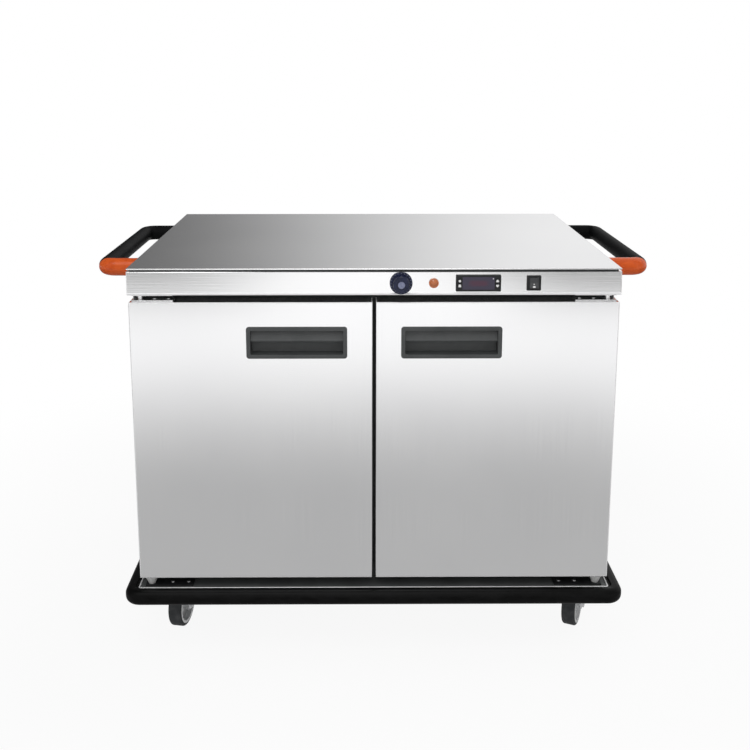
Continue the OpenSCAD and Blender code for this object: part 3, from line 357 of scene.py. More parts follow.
for corner in ("front_left", "front_right", "rear_left", "rear_right"):
    softened("fork_" + corner, zinc, radius=0.0006)
    softened("wheel_" + corner, moulding)
    softened("tyre_" + corner, tread)
for side in ("left", "right"):
    softened("brake_pedal_" + side, pedal_paint, radius=0.0008)


# Chassis. One folded steel pan under the cabinet, powder coated dark, with a strip pressed over its upper
# edge that is painted white as a painted highlight.
coat = Finish("dark_powder_coat", (0.095, 0.1, 0.1), Specular_IOR_Level=0.25)
coat_cloud = coat.noise(14, detail=4.0)
coat.looks(
    Base_Color=coat.between(coat_cloud, (0.08, 0.084, 0.084), (0.11, 0.116, 0.116)),
    Roughness=0.38 + coat_cloud * 0.18,
    Normal=coat.bump(coat.noise(800, detail=3.0), 0.00005),
)
# Painted highlight: a near-white, barely metallic finish that stands in for the light caught on steel edges.
painted_highlight = Finish("bright_strip", (0.93, 0.93, 0.935), Metallic=0.12)
painted_highlight.looks(
    Base_Color=painted_highlight.between(painted_highlight.noise(40, stretch=(1, 4, 4)), (0.9, 0.9, 0.905), (0.96, 0.96, 0.965)),
    Roughness=0.26 + painted_highlight.noise(5, stretch=(1, 80, 80)) * 0.2,
    Normal=painted_highlight.bump(painted_highlight.noise(8, stretch=(1, 60, 60)), 0.00006),
)
softened("base_frame", coat, radius=0.0012)
softened("base_edge_trim", painted_highlight)


# Bumper. A black rubber extrusion that runs right round the chassis, closed in one loop, with a satin skin
# that marks and dusts a little.
rubber = Finish("bumper_rubber", (0.005, 0.005, 0.0052), Specular_IOR_Level=0.09)
rubber_scuff = rubber.noise(26, stretch=(1, 1, 3), detail=6.0)
rubber_dark, rubber_worn = (0.002, 0.002, 0.002), (0.007, 0.007, 0.0072)
rubber.looks(
    Base_Color=rubber.between(rubber_scuff, rubber_dark, rubber_worn, start=0.35, end=0.8),
    Roughness=0.3 + rubber_scuff * 0.2,
    Normal=rubber.bump(rubber.noise(500, detail=4.0), 0.00003),
)
softened("bumper", rubber)


# Cabinet. The sides and the back are one wrap of brushed stainless sheet, closed at the front by a welded
# face frame behind black breaker strips, whose dark also stands in for the shade in the door gaps as painted
# shade. Inside is a second, plain box, with wool between. Dome rivets hold the wrap.
front_y = chassis_low.y
frame_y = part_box("front_frame")[0].y
wrap_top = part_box("cabinet_wrap")[1].z
tolerance = 0.0001


def brushed(name, low, high, smooth, grain, relief):
    """Stainless whose grinding lines run along X, or upright along Z."""
    along_grain, across_grain = 5, 620
    steel = Finish(name, high, Metallic=1.0)
    upright = (across_grain, across_grain, along_grain)
    level = (along_grain, across_grain, across_grain)
    lines = steel.noise(1.0, stretch=level if grain == "X" else upright, detail=3.0)
    clouds = steel.noise(3.2, detail=3.0)
    steel.looks(
        Base_Color=steel.between(clouds * 0.6 + lines * 0.4, low, high, start=0.32, end=0.68),
        Roughness=smooth + lines * 0.08 + clouds * 0.06,
        Normal=steel.bump(lines, relief),
    )
    return steel


def new_tree(name, *sizes):
    """An empty geometry tree that takes a geometry, the named sizes and a finish."""
    tree = bpy.data.node_groups.new(name, "GeometryNodeTree")
    tree.interface.new_socket("Geometry", in_out="INPUT", socket_type="NodeSocketGeometry")
    for size, start in sizes:
        kind = "NodeSocketInt" if isinstance(start, int) else "NodeSocketFloat"
        tree.interface.new_socket(size, in_out="INPUT", socket_type=kind).default_value = start
    tree.interface.new_socket("Finish", in_out="INPUT", socket_type="NodeSocketMaterial")
    tree.interface.new_socket("Geometry", in_out="OUTPUT", socket_type="NodeSocketGeometry")
    build = Nodes(tree)
    given = tree.nodes.new("NodeGroupInput").outputs
    return build, {socket.name: Wire(build, socket) for socket in given if socket.name}


def end_tree(build, shape, given):
    """Ends a tree in one real, smooth mesh with its finish."""
    real = build.node("GeometryNodeRealizeInstances", {}, shape)
    smooth = build.node("GeometryNodeSetShadeSmooth", {}, real)
    painted = build.node("GeometryNodeSetMaterial", {}, Geometry=smooth, Material=given["Finish"])
    build.feed(build.tree.nodes.new("NodeGroupOutput").inputs[0], painted)
    return build.tree


def grown(name, seeds, tree, finish, node, **sizes):
    """Runs a geometry tree on a seed mesh and keeps what it grows as a plain mesh."""
    crease = radians(40)
    maker = bpy.data.objects.new(name + "_maker", seeds)
    scene.collection.objects.link(maker)
    growth = maker.modifiers.new("growth", "NODES")
    growth.node_group = tree
    inputs = (item for item in tree.interface.items_tree if item.in_out == "INPUT")
    sockets = {item.name: item.identifier for item in inputs}
    growth[sockets["Finish"]] = finish.material
    for size, value in sizes.items():
        growth[sockets[size.replace("_", " ")]] = value
    evaluated = bpy.context.evaluated_depsgraph_get()
    mesh = bpy.data.meshes.new_from_object(maker.evaluated_get(evaluated), depsgraph=evaluated)
    mesh.name = name
    mesh.set_sharp_from_angle(angle=crease)
    maker.modifiers.remove(growth)
    bpy.data.objects.remove(maker)
    return new_piece(name, mesh, node, finish)


def facing_points(name, places):
    """Loose points, each with the way it faces."""
    seeds = bpy.data.meshes.new(name + "_seeds")
    seeds.from_pydata([point for point, _ in places], [], [])
    facing = seeds.attributes.new("facing", "FLOAT_VECTOR", "POINT")
    for value, (_, way_out) in zip(facing.data, places):
        value.vector = way_out
    return seeds


build, given = new_tree("dome_heads", ("Radius", 0.003), ("Height", 0.001), ("Segments", 20), ("Rings", 10))
ball = build.node(
    "GeometryNodeMeshUVSphere", {}, Segments=given["Segments"], Rings=given["Rings"], Radius=given["Radius"]
)
squash = build.node("ShaderNodeCombineXYZ", {}, 1.0, 1.0, given["Height"] / given["Radius"])
dome = build.node("GeometryNodeTransform", {}, Geometry=ball, Scale=squash)
facing = build.node("GeometryNodeInputNamedAttribute", {"data_type": "FLOAT_VECTOR"}, "facing")
turn = build.node("FunctionNodeAlignRotationToVector", {"axis": "Z"}, Vector=facing)
heads = build.node(
    "GeometryNodeInstanceOnPoints", {}, Points=given["Geometry"], Instance=dome, Rotation=turn
)
dome_heads = end_tree(build, heads, given)
head_r, head_h = 0.0034, 0.0014


def domes(name, places, node):
    """Dome heads: each place is a point on a face, and the way that the face looks."""
    grown(name, facing_points(name, places), dome_heads, zinc, node, Radius=head_r, Height=head_h)


stainless = brushed("brushed_stainless", (0.87, 0.87, 0.88), (0.93, 0.93, 0.935), 0.09, "Z", 0.00005)
satin = Finish("satin_liner", (0.56, 0.565, 0.57), Metallic=1.0)
satin_lines = satin.noise(1.0, stretch=(300, 300, 4), detail=3.0)
satin.looks(
    Base_Color=satin.between(satin.noise(5, detail=3.0), (0.52, 0.525, 0.53), (0.64, 0.645, 0.65)),
    Roughness=0.3 + satin_lines * 0.16,
    Normal=satin.bump(satin_lines, 0.00004),
)
# Partly painted shade: the breaker strips' own black, which also darkens the door gaps and the lid's joint
# where shade falls.
breaker_and_gap_shade = Finish("breaker_strip", (0.05, 0.054, 0.053), Specular_IOR_Level=0.3)
breaker_and_gap_shade.looks(
    Base_Color=breaker_and_gap_shade.between(breaker_and_gap_shade.noise(30, detail=4.0), (0.044, 0.048, 0.047), (0.06, 0.064, 0.063)),
    Roughness=0.42 + breaker_and_gap_shade.noise(260) * 0.2,
    Normal=breaker_and_gap_shade.bump(breaker_and_gap_shade.noise(900), 0.00003),
)
wool = Finish("mineral_wool", (0.6, 0.53, 0.33), Roughness=0.95)
wool_tuft = wool.noise(240, detail=6.0)
wool.looks(
    Base_Color=wool.between(wool_tuft, (0.48, 0.42, 0.25), (0.7, 0.64, 0.42)),
    Normal=wool.bump(wool_tuft, 0.002),
)


def on_wrap_fold(at):
    """The wrap's two rear folds and its upper edges."""
    return abs(at.x) > side_x - tolerance and (at.y > back_y - tolerance or at.z > wrap_top - tolerance)


softened("cabinet_wrap", stainless, radius=0.0016, where=on_wrap_fold)
softened("front_frame", satin, also=[(breaker_and_gap_shade, lambda at: at.y < frame_y + tolerance)])
softened("cabinet_liner", satin)
for node in ("insulation", "left_door_core", "right_door_core"):
    block = frame["nodes"][node].data
    block.materials.clear()
    block.materials.append(wool.material)
    for face in block.polygons:
        face.material_index = 0
rivet_low, rivet_high = deck_z + 0.022, wrap_top - 0.0135
rivet_pitch, rivets_each_way = 0.12, 4
side_rivets = (-0.26, -0.11, 0.04, 0.19, 0.32)
rivets = [
    ((step * rivet_pitch, back_y, z), (0, 1, 0))
    for step in range(-rivets_each_way, rivets_each_way + 1)
    for z in (rivet_low, rivet_high)
]
rivets += [((way * side_x, y, rivet_low), (way, 0, 0)) for way in (-1, 1) for y in side_rivets]
domes("cabinet_rivets", rivets, "cabinet_wrap")


# Service plate. A cover of the same sheet over the fan motor at the back, with two columns of pressed
# louvres, held by eight dome screws.
plate_x, plate_low, plate_high = 0.17, 0.39, 0.62
plate_middle = (plate_low + plate_high) / 2
plate_face, plate_back = back_y + 0.0012, back_y - 0.0004
plate_turn, plate_steps = 0.012, 6
screw_inset = 0.012
louvre_columns, louvre_rows = 2, 9
louvre_length, louvre_spacing, louvre_pitch = 0.12, 0.1464, 0.019
louvre_proud, louvre_rise, louvre_seat = 0.005, 0.0055, 0.0008


def rounded_loop(low, high, radius, steps):
    """The corners of a closed rectangle in a plane, each rounded in that many steps."""
    loop = []
    ends = ((high[0], high[1]), (low[0], high[1]), (low[0], low[1]), (high[0], low[1]))
    for quarter, (across, up) in enumerate(ends):
        middle_across = across - radius if across == high[0] else across + radius
        middle_up = up - radius if up == high[1] else up + radius
        for step in range(steps + 1):
            angle = (quarter + step / steps) * pi / 2
            loop.append((middle_across + radius * cos(angle), middle_up + radius * sin(angle)))
    return loop


def join_rings(form, first, last):
    """Walls between two like rings of corners, and both ends closed."""
    for i in range(len(first)):
        j = (i + 1) % len(first)
        form.faces.new((first[i], first[j], last[j], last[i]))
    form.faces.new(first)
    form.faces.new(last)


def closed_mesh(name, form):
    """Turns a form's faces outwards and makes it a mesh."""
    bmesh.ops.recalc_face_normals(form, faces=form.faces)
    mesh = bpy.data.meshes.new(name)
    form.to_mesh(mesh)
    form.free()
    return mesh


plate_outline = rounded_loop((-plate_x, plate_low), (plate_x, plate_high), plate_turn, plate_steps)
plate_form = bmesh.new()
plate_rings = [[plate_form.verts.new((x, y, z)) for x, z in plate_outline] for y in (plate_face, plate_back)]
join_rings(plate_form, *plate_rings)
plate_mesh = closed_mesh("service_plate", plate_form)
service_plate = new_piece("service_plate", plate_mesh, "cabinet_wrap", stainless)
plate_edge = service_plate.modifiers.new("rounded_edges", "BEVEL")
plate_edge.width = 0.0005
plate_edge.segments = 2
plate_edge.limit_method = "ANGLE"

build, given = new_tree(
    "pressed_louvres",
    ("Columns", 1),
    ("Rows", 1),
    ("Spacing", 0.1),
    ("Pitch", 0.02),
    ("Length", 0.1),
    ("Proud", 0.005),
    ("Rise", 0.005),
    ("Sides", 20),
)
bar = build.node("GeometryNodeMeshCylinder", {}, Vertices=given["Sides"], Radius=1.0, Depth=2.0, out="Mesh")
hood_size = build.node("ShaderNodeCombineXYZ", {}, given["Rise"], given["Proud"], given["Length"] * 0.5)
hood = build.node("GeometryNodeTransform", {}, Geometry=bar, Rotation=(0.0, pi / 2, 0.0), Scale=hood_size)
spots = build.node(
    "GeometryNodeMeshGrid",
    {},
    Size_X=given["Spacing"] * (given["Columns"] - 1),
    Size_Y=given["Pitch"] * (given["Rows"] - 1),
    Vertices_X=given["Columns"],
    Vertices_Y=given["Rows"],
)
stood = build.node("GeometryNodeTransform", {}, Geometry=spots, Rotation=(pi / 2, 0.0, 0.0))
hoods = build.node("GeometryNodeInstanceOnPoints", {}, Points=stood, Instance=hood)
pressed_louvres = end_tree(build, hoods, given)
louvres = grown(
    "plate_louvres",
    bpy.data.meshes.new("louvre_seeds"),
    pressed_louvres,
    stainless,
    "cabinet_wrap",
    Columns=louvre_columns,
    Rows=louvre_rows,
    Spacing=louvre_spacing,
    Pitch=louvre_pitch,
    Length=louvre_length,
    Proud=louvre_proud,
    Rise=louvre_rise,
)
louvres.data.transform(Matrix.Translation((0, back_y + louvre_seat, plate_middle)))
plate_screws = [
    ((x, plate_face, z), (0, 1, 0))
    for x in (screw_inset - plate_x, 0, plate_x - screw_inset)
    for z in (plate_low + screw_inset, plate_middle, plate_high - screw_inset)
    if x or z != plate_middle
]
domes("plate_screws", plate_screws, "cabinet_wrap")


# Shelf racks. Folded stainless uprights with tabs carry six welded, plated wire shelves, three a side. They
# lift out only with the doors open, so they stay with the cabinet.
plated = Finish("plated_wire", (0.78, 0.79, 0.81), Metallic=1.0)
plated.looks(
    Base_Color=plated.between(plated.noise(30, detail=4.0), (0.68, 0.69, 0.71), (0.86, 0.87, 0.88)),
    Roughness=0.14 + plated.noise(90) * 0.16,
)
build, given = new_tree("welded_wires", ("Sides", 12))
wires = build.node(
    "GeometryNodeCurveToMesh",
    {},
    Curve=build.node("GeometryNodeMeshToCurve", {}, given["Geometry"]),
    Profile_Curve=build.node("GeometryNodeCurvePrimitiveCircle", {}, Resolution=given["Sides"], Radius=1.0),
    Scale=build.node("GeometryNodeInputNamedAttribute", {"data_type": "FLOAT"}, "thick"),
    Fill_Caps=True,
)
welded_wires = end_tree(build, wires, given)


def wire_seeds(name, runs):
    """Polylines for the wire tree: each run is (points, radius, closed)."""
    points, edges, thick = [], [], []
    for run, radius, closed in runs:
        first = len(points)
        points += run
        thick += [radius] * len(run)
        edges += [(first + i, first + i + 1) for i in range(len(run) - 1)]
        edges += [(first + len(run) - 1, first)] if closed else []
    seeds = bpy.data.meshes.new(name + "_seeds")
    seeds.from_pydata(points, edges, [])
    for value, radius in zip(seeds.attributes.new("thick", "FLOAT", "POINT").data, thick):
        value.value = radius
    return seeds


shelf_low, shelf_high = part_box("wire_shelves")
shelf_levels = (0.329, 0.464, 0.599)
rim_r, bar_r, wire_r = 0.004, 0.003, 0.002
rim_turn, rim_steps = 0.01, 6
wires_each, wire_pitch = 14, 0.03
wire_overhang, weld_depth = 0.002, 0.001
inner_x, outer_x = 0.0171 + rim_r, shelf_high.x - rim_r
fore_y, rear_y = shelf_low.y + rim_r, shelf_high.y - rim_r
shelf_middle_x, shelf_middle_y = (inner_x + outer_x) / 2, (fore_y + rear_y) / 2
rim_outline = rounded_loop((inner_x, fore_y), (outer_x, rear_y), rim_turn, rim_steps)
shelf_runs = []
for way in (-1, 1):
    for level in shelf_levels:
        z = level + rim_r
        shelf_runs.append(([(way * x, y, z) for x, y in rim_outline], rim_r, True))
        cross_bar = [(way * x, shelf_middle_y, z) for x in (inner_x, outer_x)]
        shelf_runs.append((cross_bar, bar_r, False))
        wire_z = z + rim_r + wire_r - weld_depth
        for i in range(wires_each):
            x = way * (shelf_middle_x + (i - (wires_each - 1) / 2) * wire_pitch)
            wire = [(x, y, wire_z) for y in (fore_y - wire_overhang, rear_y + wire_overhang)]
            shelf_runs.append((wire, wire_r, False))
shelves = grown("shelf_wires", wire_seeds("shelf_wires", shelf_runs), welded_wires, plated, "wire_shelves")
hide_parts("wire_shelves")
softened("rack_uprights", satin)


# Edge bead. A thin wire pressed on to the strip round the chassis, where the bumper meets it, painted white
# as a painted highlight. It is one length, bent round the four corners.
bead_r, bead_turn, bead_steps = 0.0014, 0.004, 4
trim_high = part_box("base_edge_trim")[1]
bead_x, bead_y, bead_z = trim_high.x - 0.001, trim_high.y - 0.001, trim_high.z + 0.0001
bead_outline = rounded_loop((-bead_x, -bead_y), (bead_x, bead_y), bead_turn, bead_steps)
bead_seeds = wire_seeds("edge_bead", [([(x, y, bead_z) for x, y in bead_outline], bead_r, True)])
grown("edge_bead", bead_seeds, welded_wires, painted_highlight, "base_edge_trim")


# Heater. A slotted duct on the back wall hides a ring element round a small fan, and a water tray under it
# keeps the food moist.
sheath = Finish("heater_sheath", (0.12, 0.11, 0.1), Metallic=0.8)
sheath_heat = sheath.noise(35, detail=4.0)
sheath.looks(
    Base_Color=sheath.between(sheath_heat, (0.08, 0.075, 0.07), (0.2, 0.16, 0.12)),
    Roughness=0.4 + sheath_heat * 0.3,
)
cast = Finish("motor_paint", (0.2, 0.22, 0.24), Metallic=0.3)
cast_grain = cast.noise(260, detail=4.0)
cast.looks(
    Base_Color=cast.between(cast_grain, (0.17, 0.19, 0.21), (0.23, 0.25, 0.27)),
    Roughness=0.45 + cast.noise(80, detail=4.0) * 0.3,
    Normal=cast.bump(cast_grain, 0.0002),
)
softened("air_duct", satin)
softened("heater_element", sheath)
softened("fan_motor", cast, radius=0.001)
softened("fan_wheel", satin)
softened("water_tray", satin)
duct_low, duct_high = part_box("air_duct")
duct_rivet_x, duct_rivet_inset = 0.125, 0.012
duct_rivets = [
    ((x, duct_low.y, z), (0, -1, 0))
    for x in (-duct_rivet_x, 0, duct_rivet_x)
    for z in (duct_low.z + duct_rivet_inset, duct_high.z - duct_rivet_inset)
]
domes("duct_rivets", duct_rivets, "air_duct")


# Worktop and header. A folded stainless lid sits over the cabinet, with its rim in the joint painted dark as
# painted shade, and the control panel below it ends in a rolled hem painted white as a painted highlight.
lid = brushed("worktop_stainless", (0.84, 0.84, 0.85), (0.9, 0.9, 0.905), 0.17, "X", 0.00004)
header_steel = brushed("header_stainless", (0.88, 0.88, 0.885), (0.94, 0.94, 0.945), 0.09, "X", 0.00004)
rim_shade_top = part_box("worktop")[0].z + 0.00345


def on_rim(at):
    """The outer edges that the lid and the header share with the cabinet's faces."""
    return abs(at.x) > side_x - tolerance or abs(at.y) > back_y - tolerance


# Painted shade: the faces of the lid's rim in the joint take the dark finish, as the joint's shade.
softened("worktop", lid, radius=0.0013, where=on_rim, also=[(breaker_and_gap_shade, lambda at: at.z < rim_shade_top)])
softened(
    "control_fascia", header_steel, radius=0.0014, where=lambda at: at.y < front_y + tolerance and on_rim(at)
)
# Painted highlight: the hem takes the white finish that stands in for the light on its rolled edge.
hem_r, hem_proud, hem_steps = 0.0024, 0.0014, 8
hem_x, hem_z = side_x - 0.0008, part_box("control_fascia")[0].z + 0.0026
hem_turns = [step * pi / hem_steps for step in range(hem_steps + 1)]
hem_section = [(front_y - hem_proud * sin(turn), hem_z - hem_r * cos(turn)) for turn in hem_turns]
hem_form = bmesh.new()
join_rings(hem_form, *([hem_form.verts.new((x, y, z)) for y, z in hem_section] for x in (-hem_x, hem_x)))
hem_mesh = closed_mesh("header_hem", hem_form)
hem_mesh.shade_smooth()
hem_mesh.set_sharp_from_angle(angle=radians(50))
new_piece("header_hem", hem_mesh, "control_fascia", painted_highlight)


# Controls. From left to right: a dark blue thermostat knob, an orange neon lamp, a digital controller with
# four keys, and a rocker switch, the last two black mouldings with white marks. The supply inlet is at the
# back.
def centre(node):
    """The middle of a node's box."""
    low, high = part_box(node)
    return (low + high) / 2


control_z = centre("switch_housing").z
knob_x, controller_x = centre("thermostat_knob").x, centre("controller_case").x
switch_x = centre("switch_housing").x
black = Finish("black_moulding", (0.014, 0.015, 0.016), Specular_IOR_Level=0.35)
black_grain = black.noise(1500)
black.looks(
    Base_Color=black.between(black.noise(60, detail=3.0), (0.011, 0.012, 0.013), (0.018, 0.019, 0.02)),
    Roughness=0.38 + black_grain * 0.2,
    Normal=black.bump(black_grain, 0.00003),
)
rocker_face = Finish("rocker_moulding", (0.045, 0.047, 0.05))
rocker_face.looks(
    Base_Color=rocker_face.between(rocker_face.noise(160), (0.04, 0.042, 0.045), (0.055, 0.057, 0.06)),
    Roughness=0.3 + rocker_face.noise(900) * 0.2,
)
navy = Finish("navy_moulding", (0.007, 0.011, 0.04), Specular_IOR_Level=0.35)
navy.looks(
    Base_Color=navy.between(navy.noise(80, detail=4.0), (0.004, 0.007, 0.028), (0.01, 0.016, 0.056)),
    Roughness=0.2 + navy.noise(400) * 0.14,
)
# Partly painted highlight: the cap's light violet is partly its own colour and partly a painted highlight at
# the knob's middle. The scale marks are print in the same finish.
violet_cap_highlight_and_marks = Finish("knob_cap", (0.2, 0.22, 0.34))
violet_cap_highlight_and_marks.looks(
    Base_Color=violet_cap_highlight_and_marks.between(violet_cap_highlight_and_marks.noise(240), (0.16, 0.18, 0.29), (0.26, 0.28, 0.41)),
    Roughness=0.3 + violet_cap_highlight_and_marks.noise(500) * 0.15,
)
amber = Finish("amber_lens", (0.48, 0.15, 0.055), Coat_Roughness=0.08)
amber.looks(
    Base_Color=amber.between(amber.noise(300), (0.46, 0.125, 0.035), (0.64, 0.19, 0.06)),
    Roughness=0.22 + amber.noise(500) * 0.1,
    Coat_Weight=0.5 + amber.noise(90) * 0.2,
)
smoked = Finish("smoked_window", (0.06, 0.04, 0.065), Specular_IOR_Level=0.4)
glow_x, glow_z = 0.028, 0.008
window_x = smoked.node("ShaderNodeSeparateXYZ", {}, smoked.node("ShaderNodeTexCoord", {}, out="Object"))
off_x = abs(window_x - controller_x) / glow_x
off_z = abs(window_x.beside("Z") - control_z) / glow_z
glow_cloud = 0.4 + smoked.noise(320, stretch=(1, 1, 0.4)) * 0.9
glow = (1 - off_x.rises(0.3, 1.0)) * (1 - off_z.rises(0.2, 1.2)) * glow_cloud
smoked.looks(
    Base_Color=smoked.between(glow, (0.052, 0.044, 0.074), (0.082, 0.036, 0.062), start=0.1, end=0.75),
    Roughness=0.22 + smoked.noise(300) * 0.06,
)
print_white = Finish("printed_mark", (0.84, 0.84, 0.84))
print_white.looks(
    Base_Color=print_white.between(print_white.noise(900), (0.78, 0.78, 0.78), (0.9, 0.9, 0.9), end=0.6),
    Roughness=0.4 + print_white.noise(400) * 0.2,
)


def out_by(depth):
    """Tests for what stands further than that out of the header's face."""
    return lambda at: at.y < front_y - depth


softened("controller_case", black, radius=0.0004, where=out_by(0.003))
softened("controller_window", smoked)
softened("switch_housing", black, radius=0.0004, where=out_by(0.002))
softened("switch_rocker", rocker_face, radius=0.0003)
softened("pilot_lamp", amber)
softened("thermostat_body", cast, radius=0.0006)
softened("thermostat_knob", navy, radius=0.0004, also=[(violet_cap_highlight_and_marks, out_by(0.0209))])
softened("power_inlet", black, radius=0.0004, where=lambda at: at.y > back_y + 0.002)
key_names = ("set_key", "light_key", "up_key", "down_key")
for key in key_names:
    softened(key, black, radius=0.0002)


def printed(name, outline, at, out, node):
    """A flat mark, outlined in millimetres to the right and up, at a point on a face that looks out."""
    ink, per_metre = 0.0001, 1000
    out = Vector(out).normalized()
    right = Vector((0, 0, 1)).cross(out).normalized()
    up = out.cross(right)
    form = bmesh.new()
    rings = [
        [form.verts.new(Vector(at) + (right * u + up * v) / per_metre + out * lift) for u, v in outline]
        for lift in (-ink, ink)
    ]
    join_rings(form, *rings)
    return new_piece(name, closed_mesh(name, form), node, print_white, slot="key")


def oval(half_w, half_h, steps=20):
    """An outline for a mark, in millimetres."""
    turns = [step * 2 * pi / steps for step in range(steps)]
    return [(half_w * cos(turn), half_h * sin(turn)) for turn in turns]


key_marks = {
    "set_key": oval(2.5, 2.5),
    "light_key": [(-2.7, -2.7), (2.7, -2.7), (2.7, 1.7), (1.5, 2.9), (-1.5, 2.9), (-2.7, 1.7)],
    "up_key": [(-2.8, -2.4), (2.8, -2.4), (2.8, 0.6), (0.0, 3.0), (-2.8, 0.6)],
    "down_key": [(-2.8, 2.4), (-2.8, -0.6), (0.0, -3.0), (2.8, -0.6), (2.8, 2.4)],
}
for key in key_names:
    key_front = (centre(key).x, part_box(key)[0].y, centre(key).z)
    printed(key + "_mark", key_marks[key], key_front, (0, -1, 0), key)
window_low, window_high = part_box("controller_window")
indicator_in, indicator_down = 0.003, 0.0035
indicator_at = (window_high.x - indicator_in, window_low.y, window_high.z - indicator_down)
printed("indicator_mark", oval(1.1, 1.1), indicator_at, (0, -1, 0), "controller_window")
mostly_front = -0.7
rocker_faces = frame["nodes"]["switch_rocker"].data.polygons
lower_half = max(
    (face for face in rocker_faces if face.normal.y < mostly_front and face.center.z < control_z),
    key=lambda face: face.area,
)


def on_rocker(drop):
    """The point that far below the middle, on the rocker's lower half as it stands at rest."""
    z = control_z - drop
    at, out = lower_half.center, lower_half.normal
    return switch_x, at.y - (out.x * (switch_x - at.x) + out.z * (z - at.z)) / out.y, z


printed("rocker_dot", oval(1.1, 1.1), on_rocker(0.0022), lower_half.normal, "switch_rocker")
printed("rocker_oval", oval(3.0, 1.9), on_rocker(0.0072), lower_half.normal, "switch_rocker")

scale_count, scale_r, scale_y = 20, 0.0208, front_y - 0.0033
build, given = new_tree(
    "scale_marks", ("Count", 12), ("Radius", 0.02), ("Length", 0.0022), ("Width", 0.0009), ("Ink", 0.0003)
)
stroke_size = build.node("ShaderNodeCombineXYZ", {}, given["Length"], given["Width"], given["Ink"])
stroke = build.node("GeometryNodeMeshCube", {}, stroke_size)
ring = build.node("GeometryNodeMeshCircle", {}, Vertices=given["Count"], Radius=given["Radius"])
place = build.node("GeometryNodeInputPosition", {})
outward = build.node("FunctionNodeAlignRotationToVector", {"axis": "X"}, Vector=place)
strokes = build.node("GeometryNodeInstanceOnPoints", {}, Points=ring, Instance=stroke, Rotation=outward)
scale_marks = end_tree(build, strokes, given)
knob_scale = grown(
    "knob_scale",
    bpy.data.meshes.new("scale_seeds"),
    scale_marks,
    violet_cap_highlight_and_marks,
    "thermostat_knob",
    Count=scale_count,
    Radius=scale_r,
)
knob_scale.data.transform(
    Matrix.Translation((knob_x, scale_y, control_z)) @ Matrix.Rotation(radians(90), 4, "X")
)


# Side handles. Bent steel tubes in soft black sleeves, one each side, with an orange cover clipped round the
# front corner.
sleeve = Finish("black_sleeve", (0.007, 0.0075, 0.008), Specular_IOR_Level=0.035)
sleeve_grain = sleeve.noise(600, detail=4.0)
sleeve.looks(
    Base_Color=sleeve.between(sleeve.noise(24, detail=4.0), (0.005, 0.0052, 0.0056), (0.009, 0.0095, 0.01)),
    Roughness=0.42 + sleeve_grain * 0.2,
    Normal=sleeve.bump(sleeve_grain, 0.00006),
)
orange = Finish("orange_cover", (0.7, 0.105, 0.014), Specular_IOR_Level=0.3)
orange_cloud = orange.noise(55, detail=4.0)
orange.looks(
    Base_Color=orange.between(orange_cloud, (0.64, 0.085, 0.01), (0.76, 0.12, 0.018)),
    Roughness=0.16 + orange_cloud * 0.16,
    Normal=orange.bump(orange.noise(700), 0.00002),
)
softened("handle_grip_left", sleeve)
softened("handle_grip_right", sleeve)
softened("handle_covers", orange)


# Door hinges. Pressed brackets above and below carry a pin each, and each door turns on its two pivots. The
# lower plates are blackened, with white nylon risers and bright pins and screws.
hinge_steel = Finish("hinge_stainless", (0.85, 0.85, 0.86), Metallic=1.0)
hinge_steel.looks(
    Base_Color=hinge_steel.between(hinge_steel.noise(60), (0.8, 0.8, 0.81), (0.92, 0.92, 0.92)),
    Roughness=0.16 + hinge_steel.noise(200, stretch=(1, 8, 8)) * 0.2,
    Normal=hinge_steel.bump(hinge_steel.noise(120, stretch=(1, 8, 8)), 0.00003),
)
nylon = Finish("nylon_bush", (0.8, 0.8, 0.79))
nylon.looks(
    Base_Color=nylon.between(nylon.noise(120), (0.76, 0.76, 0.75), (0.86, 0.86, 0.85)),
    Roughness=0.35 + nylon.noise(400) * 0.15,
)
deck_plate_top = deck_z + 0.00305
riser_x, riser_top = 0.4655, 0.1755
pin_x, pin_y, pin_r = 0.477, -0.33, 0.0055


def on_lower_plate(at):
    """The plate on the deck, beside the riser."""
    return at.z < deck_plate_top and abs(at.x) < riser_x


def on_riser(at):
    """The riser under the door, without the pin that stands in it."""
    off_pin = Vector((abs(at.x) - pin_x, at.y - pin_y)).length > pin_r
    return deck_plate_top < at.z < riser_top and abs(at.x) > riser_x and off_pin


softened("top_hinge_brackets", hinge_steel, radius=0.0005)
softened(
    "bottom_hinge_brackets", hinge_steel, radius=0.0005, also=[(black, on_lower_plate), (nylon, on_riser)]
)


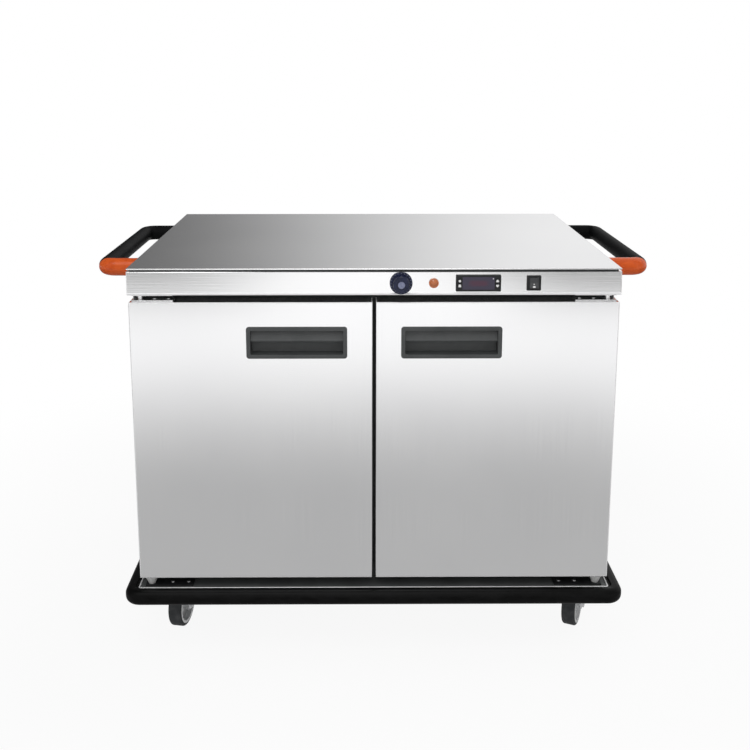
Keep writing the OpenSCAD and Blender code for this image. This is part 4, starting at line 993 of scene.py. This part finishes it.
# Doors. Each is a folded stainless skin over a wool core and an inner pan, with a soft seal round the pan
# and a charcoal pull let into the skin.
charcoal = Finish("charcoal_moulding", (0.058, 0.062, 0.063))
charcoal_grain = charcoal.noise(1100, detail=3.0)
charcoal.looks(
    Base_Color=charcoal.between(charcoal.noise(30, detail=4.0), (0.05, 0.054, 0.055), (0.066, 0.07, 0.071)),
    Roughness=0.34 + charcoal_grain * 0.2,
    Normal=charcoal.bump(charcoal_grain, 0.00004),
)
soft_seal = Finish("soft_seal", (0.014, 0.014, 0.015), Specular_IOR_Level=0.3)
soft_seal.looks(
    Base_Color=soft_seal.between(soft_seal.noise(40, detail=4.0), (0.01, 0.01, 0.011), (0.02, 0.02, 0.021)),
    Roughness=0.55 + soft_seal.noise(300) * 0.2,
    Normal=soft_seal.bump(soft_seal.noise(900), 0.00004),
)
# Painted light: a lighter copy of the charcoal on the hollow behind each grip, standing in for light in its
# shade.
tub_painted_light = Finish("charcoal_tub", (0.09, 0.095, 0.096))
tub_painted_light.looks(
    Base_Color=tub_painted_light.between(tub_painted_light.noise(40, detail=4.0), (0.08, 0.085, 0.086), (0.1, 0.105, 0.106)),
    Roughness=0.45 + tub_painted_light.noise(1100) * 0.2,
    Normal=tub_painted_light.bump(tub_painted_light.noise(1100, detail=3.0), 0.00004),
)
door_low, door_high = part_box("right_door_skin")
fold_r, fold_highlight_reach = 0.002, 0.0006
face_reach, side_reach, rear_lip = 0.0035, 0.0025, 0.0015
tub_front, tub_back = front_y + 0.015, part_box("right_door_pull")[1].y - 0.0005


def on_perimeter(at):
    """The upper and lower edges of a door's skin, as far as they show."""
    on_end = at.z > door_high.z - tolerance or at.z < door_low.z + tolerance
    on_side = abs(at.x) > door_high.x - side_reach or abs(at.x) < door_low.x + side_reach
    return on_end and (on_side or at.y < front_y + face_reach) and at.y < door_high.y - rear_lip


def on_fold_highlight(at):
    """The half of an upright fold that looks to the front, painted white as a painted highlight."""
    return abs(at.x) > door_high.x - fold_r and front_y + tolerance / 10 < at.y < front_y + fold_highlight_reach


def in_tub(at):
    """The hollow's floor behind a pull's grip, painted lighter as painted light."""
    return tub_front < at.y < tub_back


for side in ("left", "right"):
    skin = softened(
        side + "_door_skin", stainless, radius=fold_r, where=on_perimeter, also=[(painted_highlight, on_fold_highlight)]
    )
    # Painted highlight: the rounded upper and lower edges take the white finish as well.
    skin.modifiers["rounded_edges"].material = 1
    softened(side + "_door_inner_pan", satin)
    softened(side + "_door_seal", soft_seal, radius=0.0008)
    softened(side + "_door_pivots", hinge_steel, radius=0.0004)
    softened(side + "_door_pull", charcoal, radius=0.0007, also=[(tub_painted_light, in_tub)])
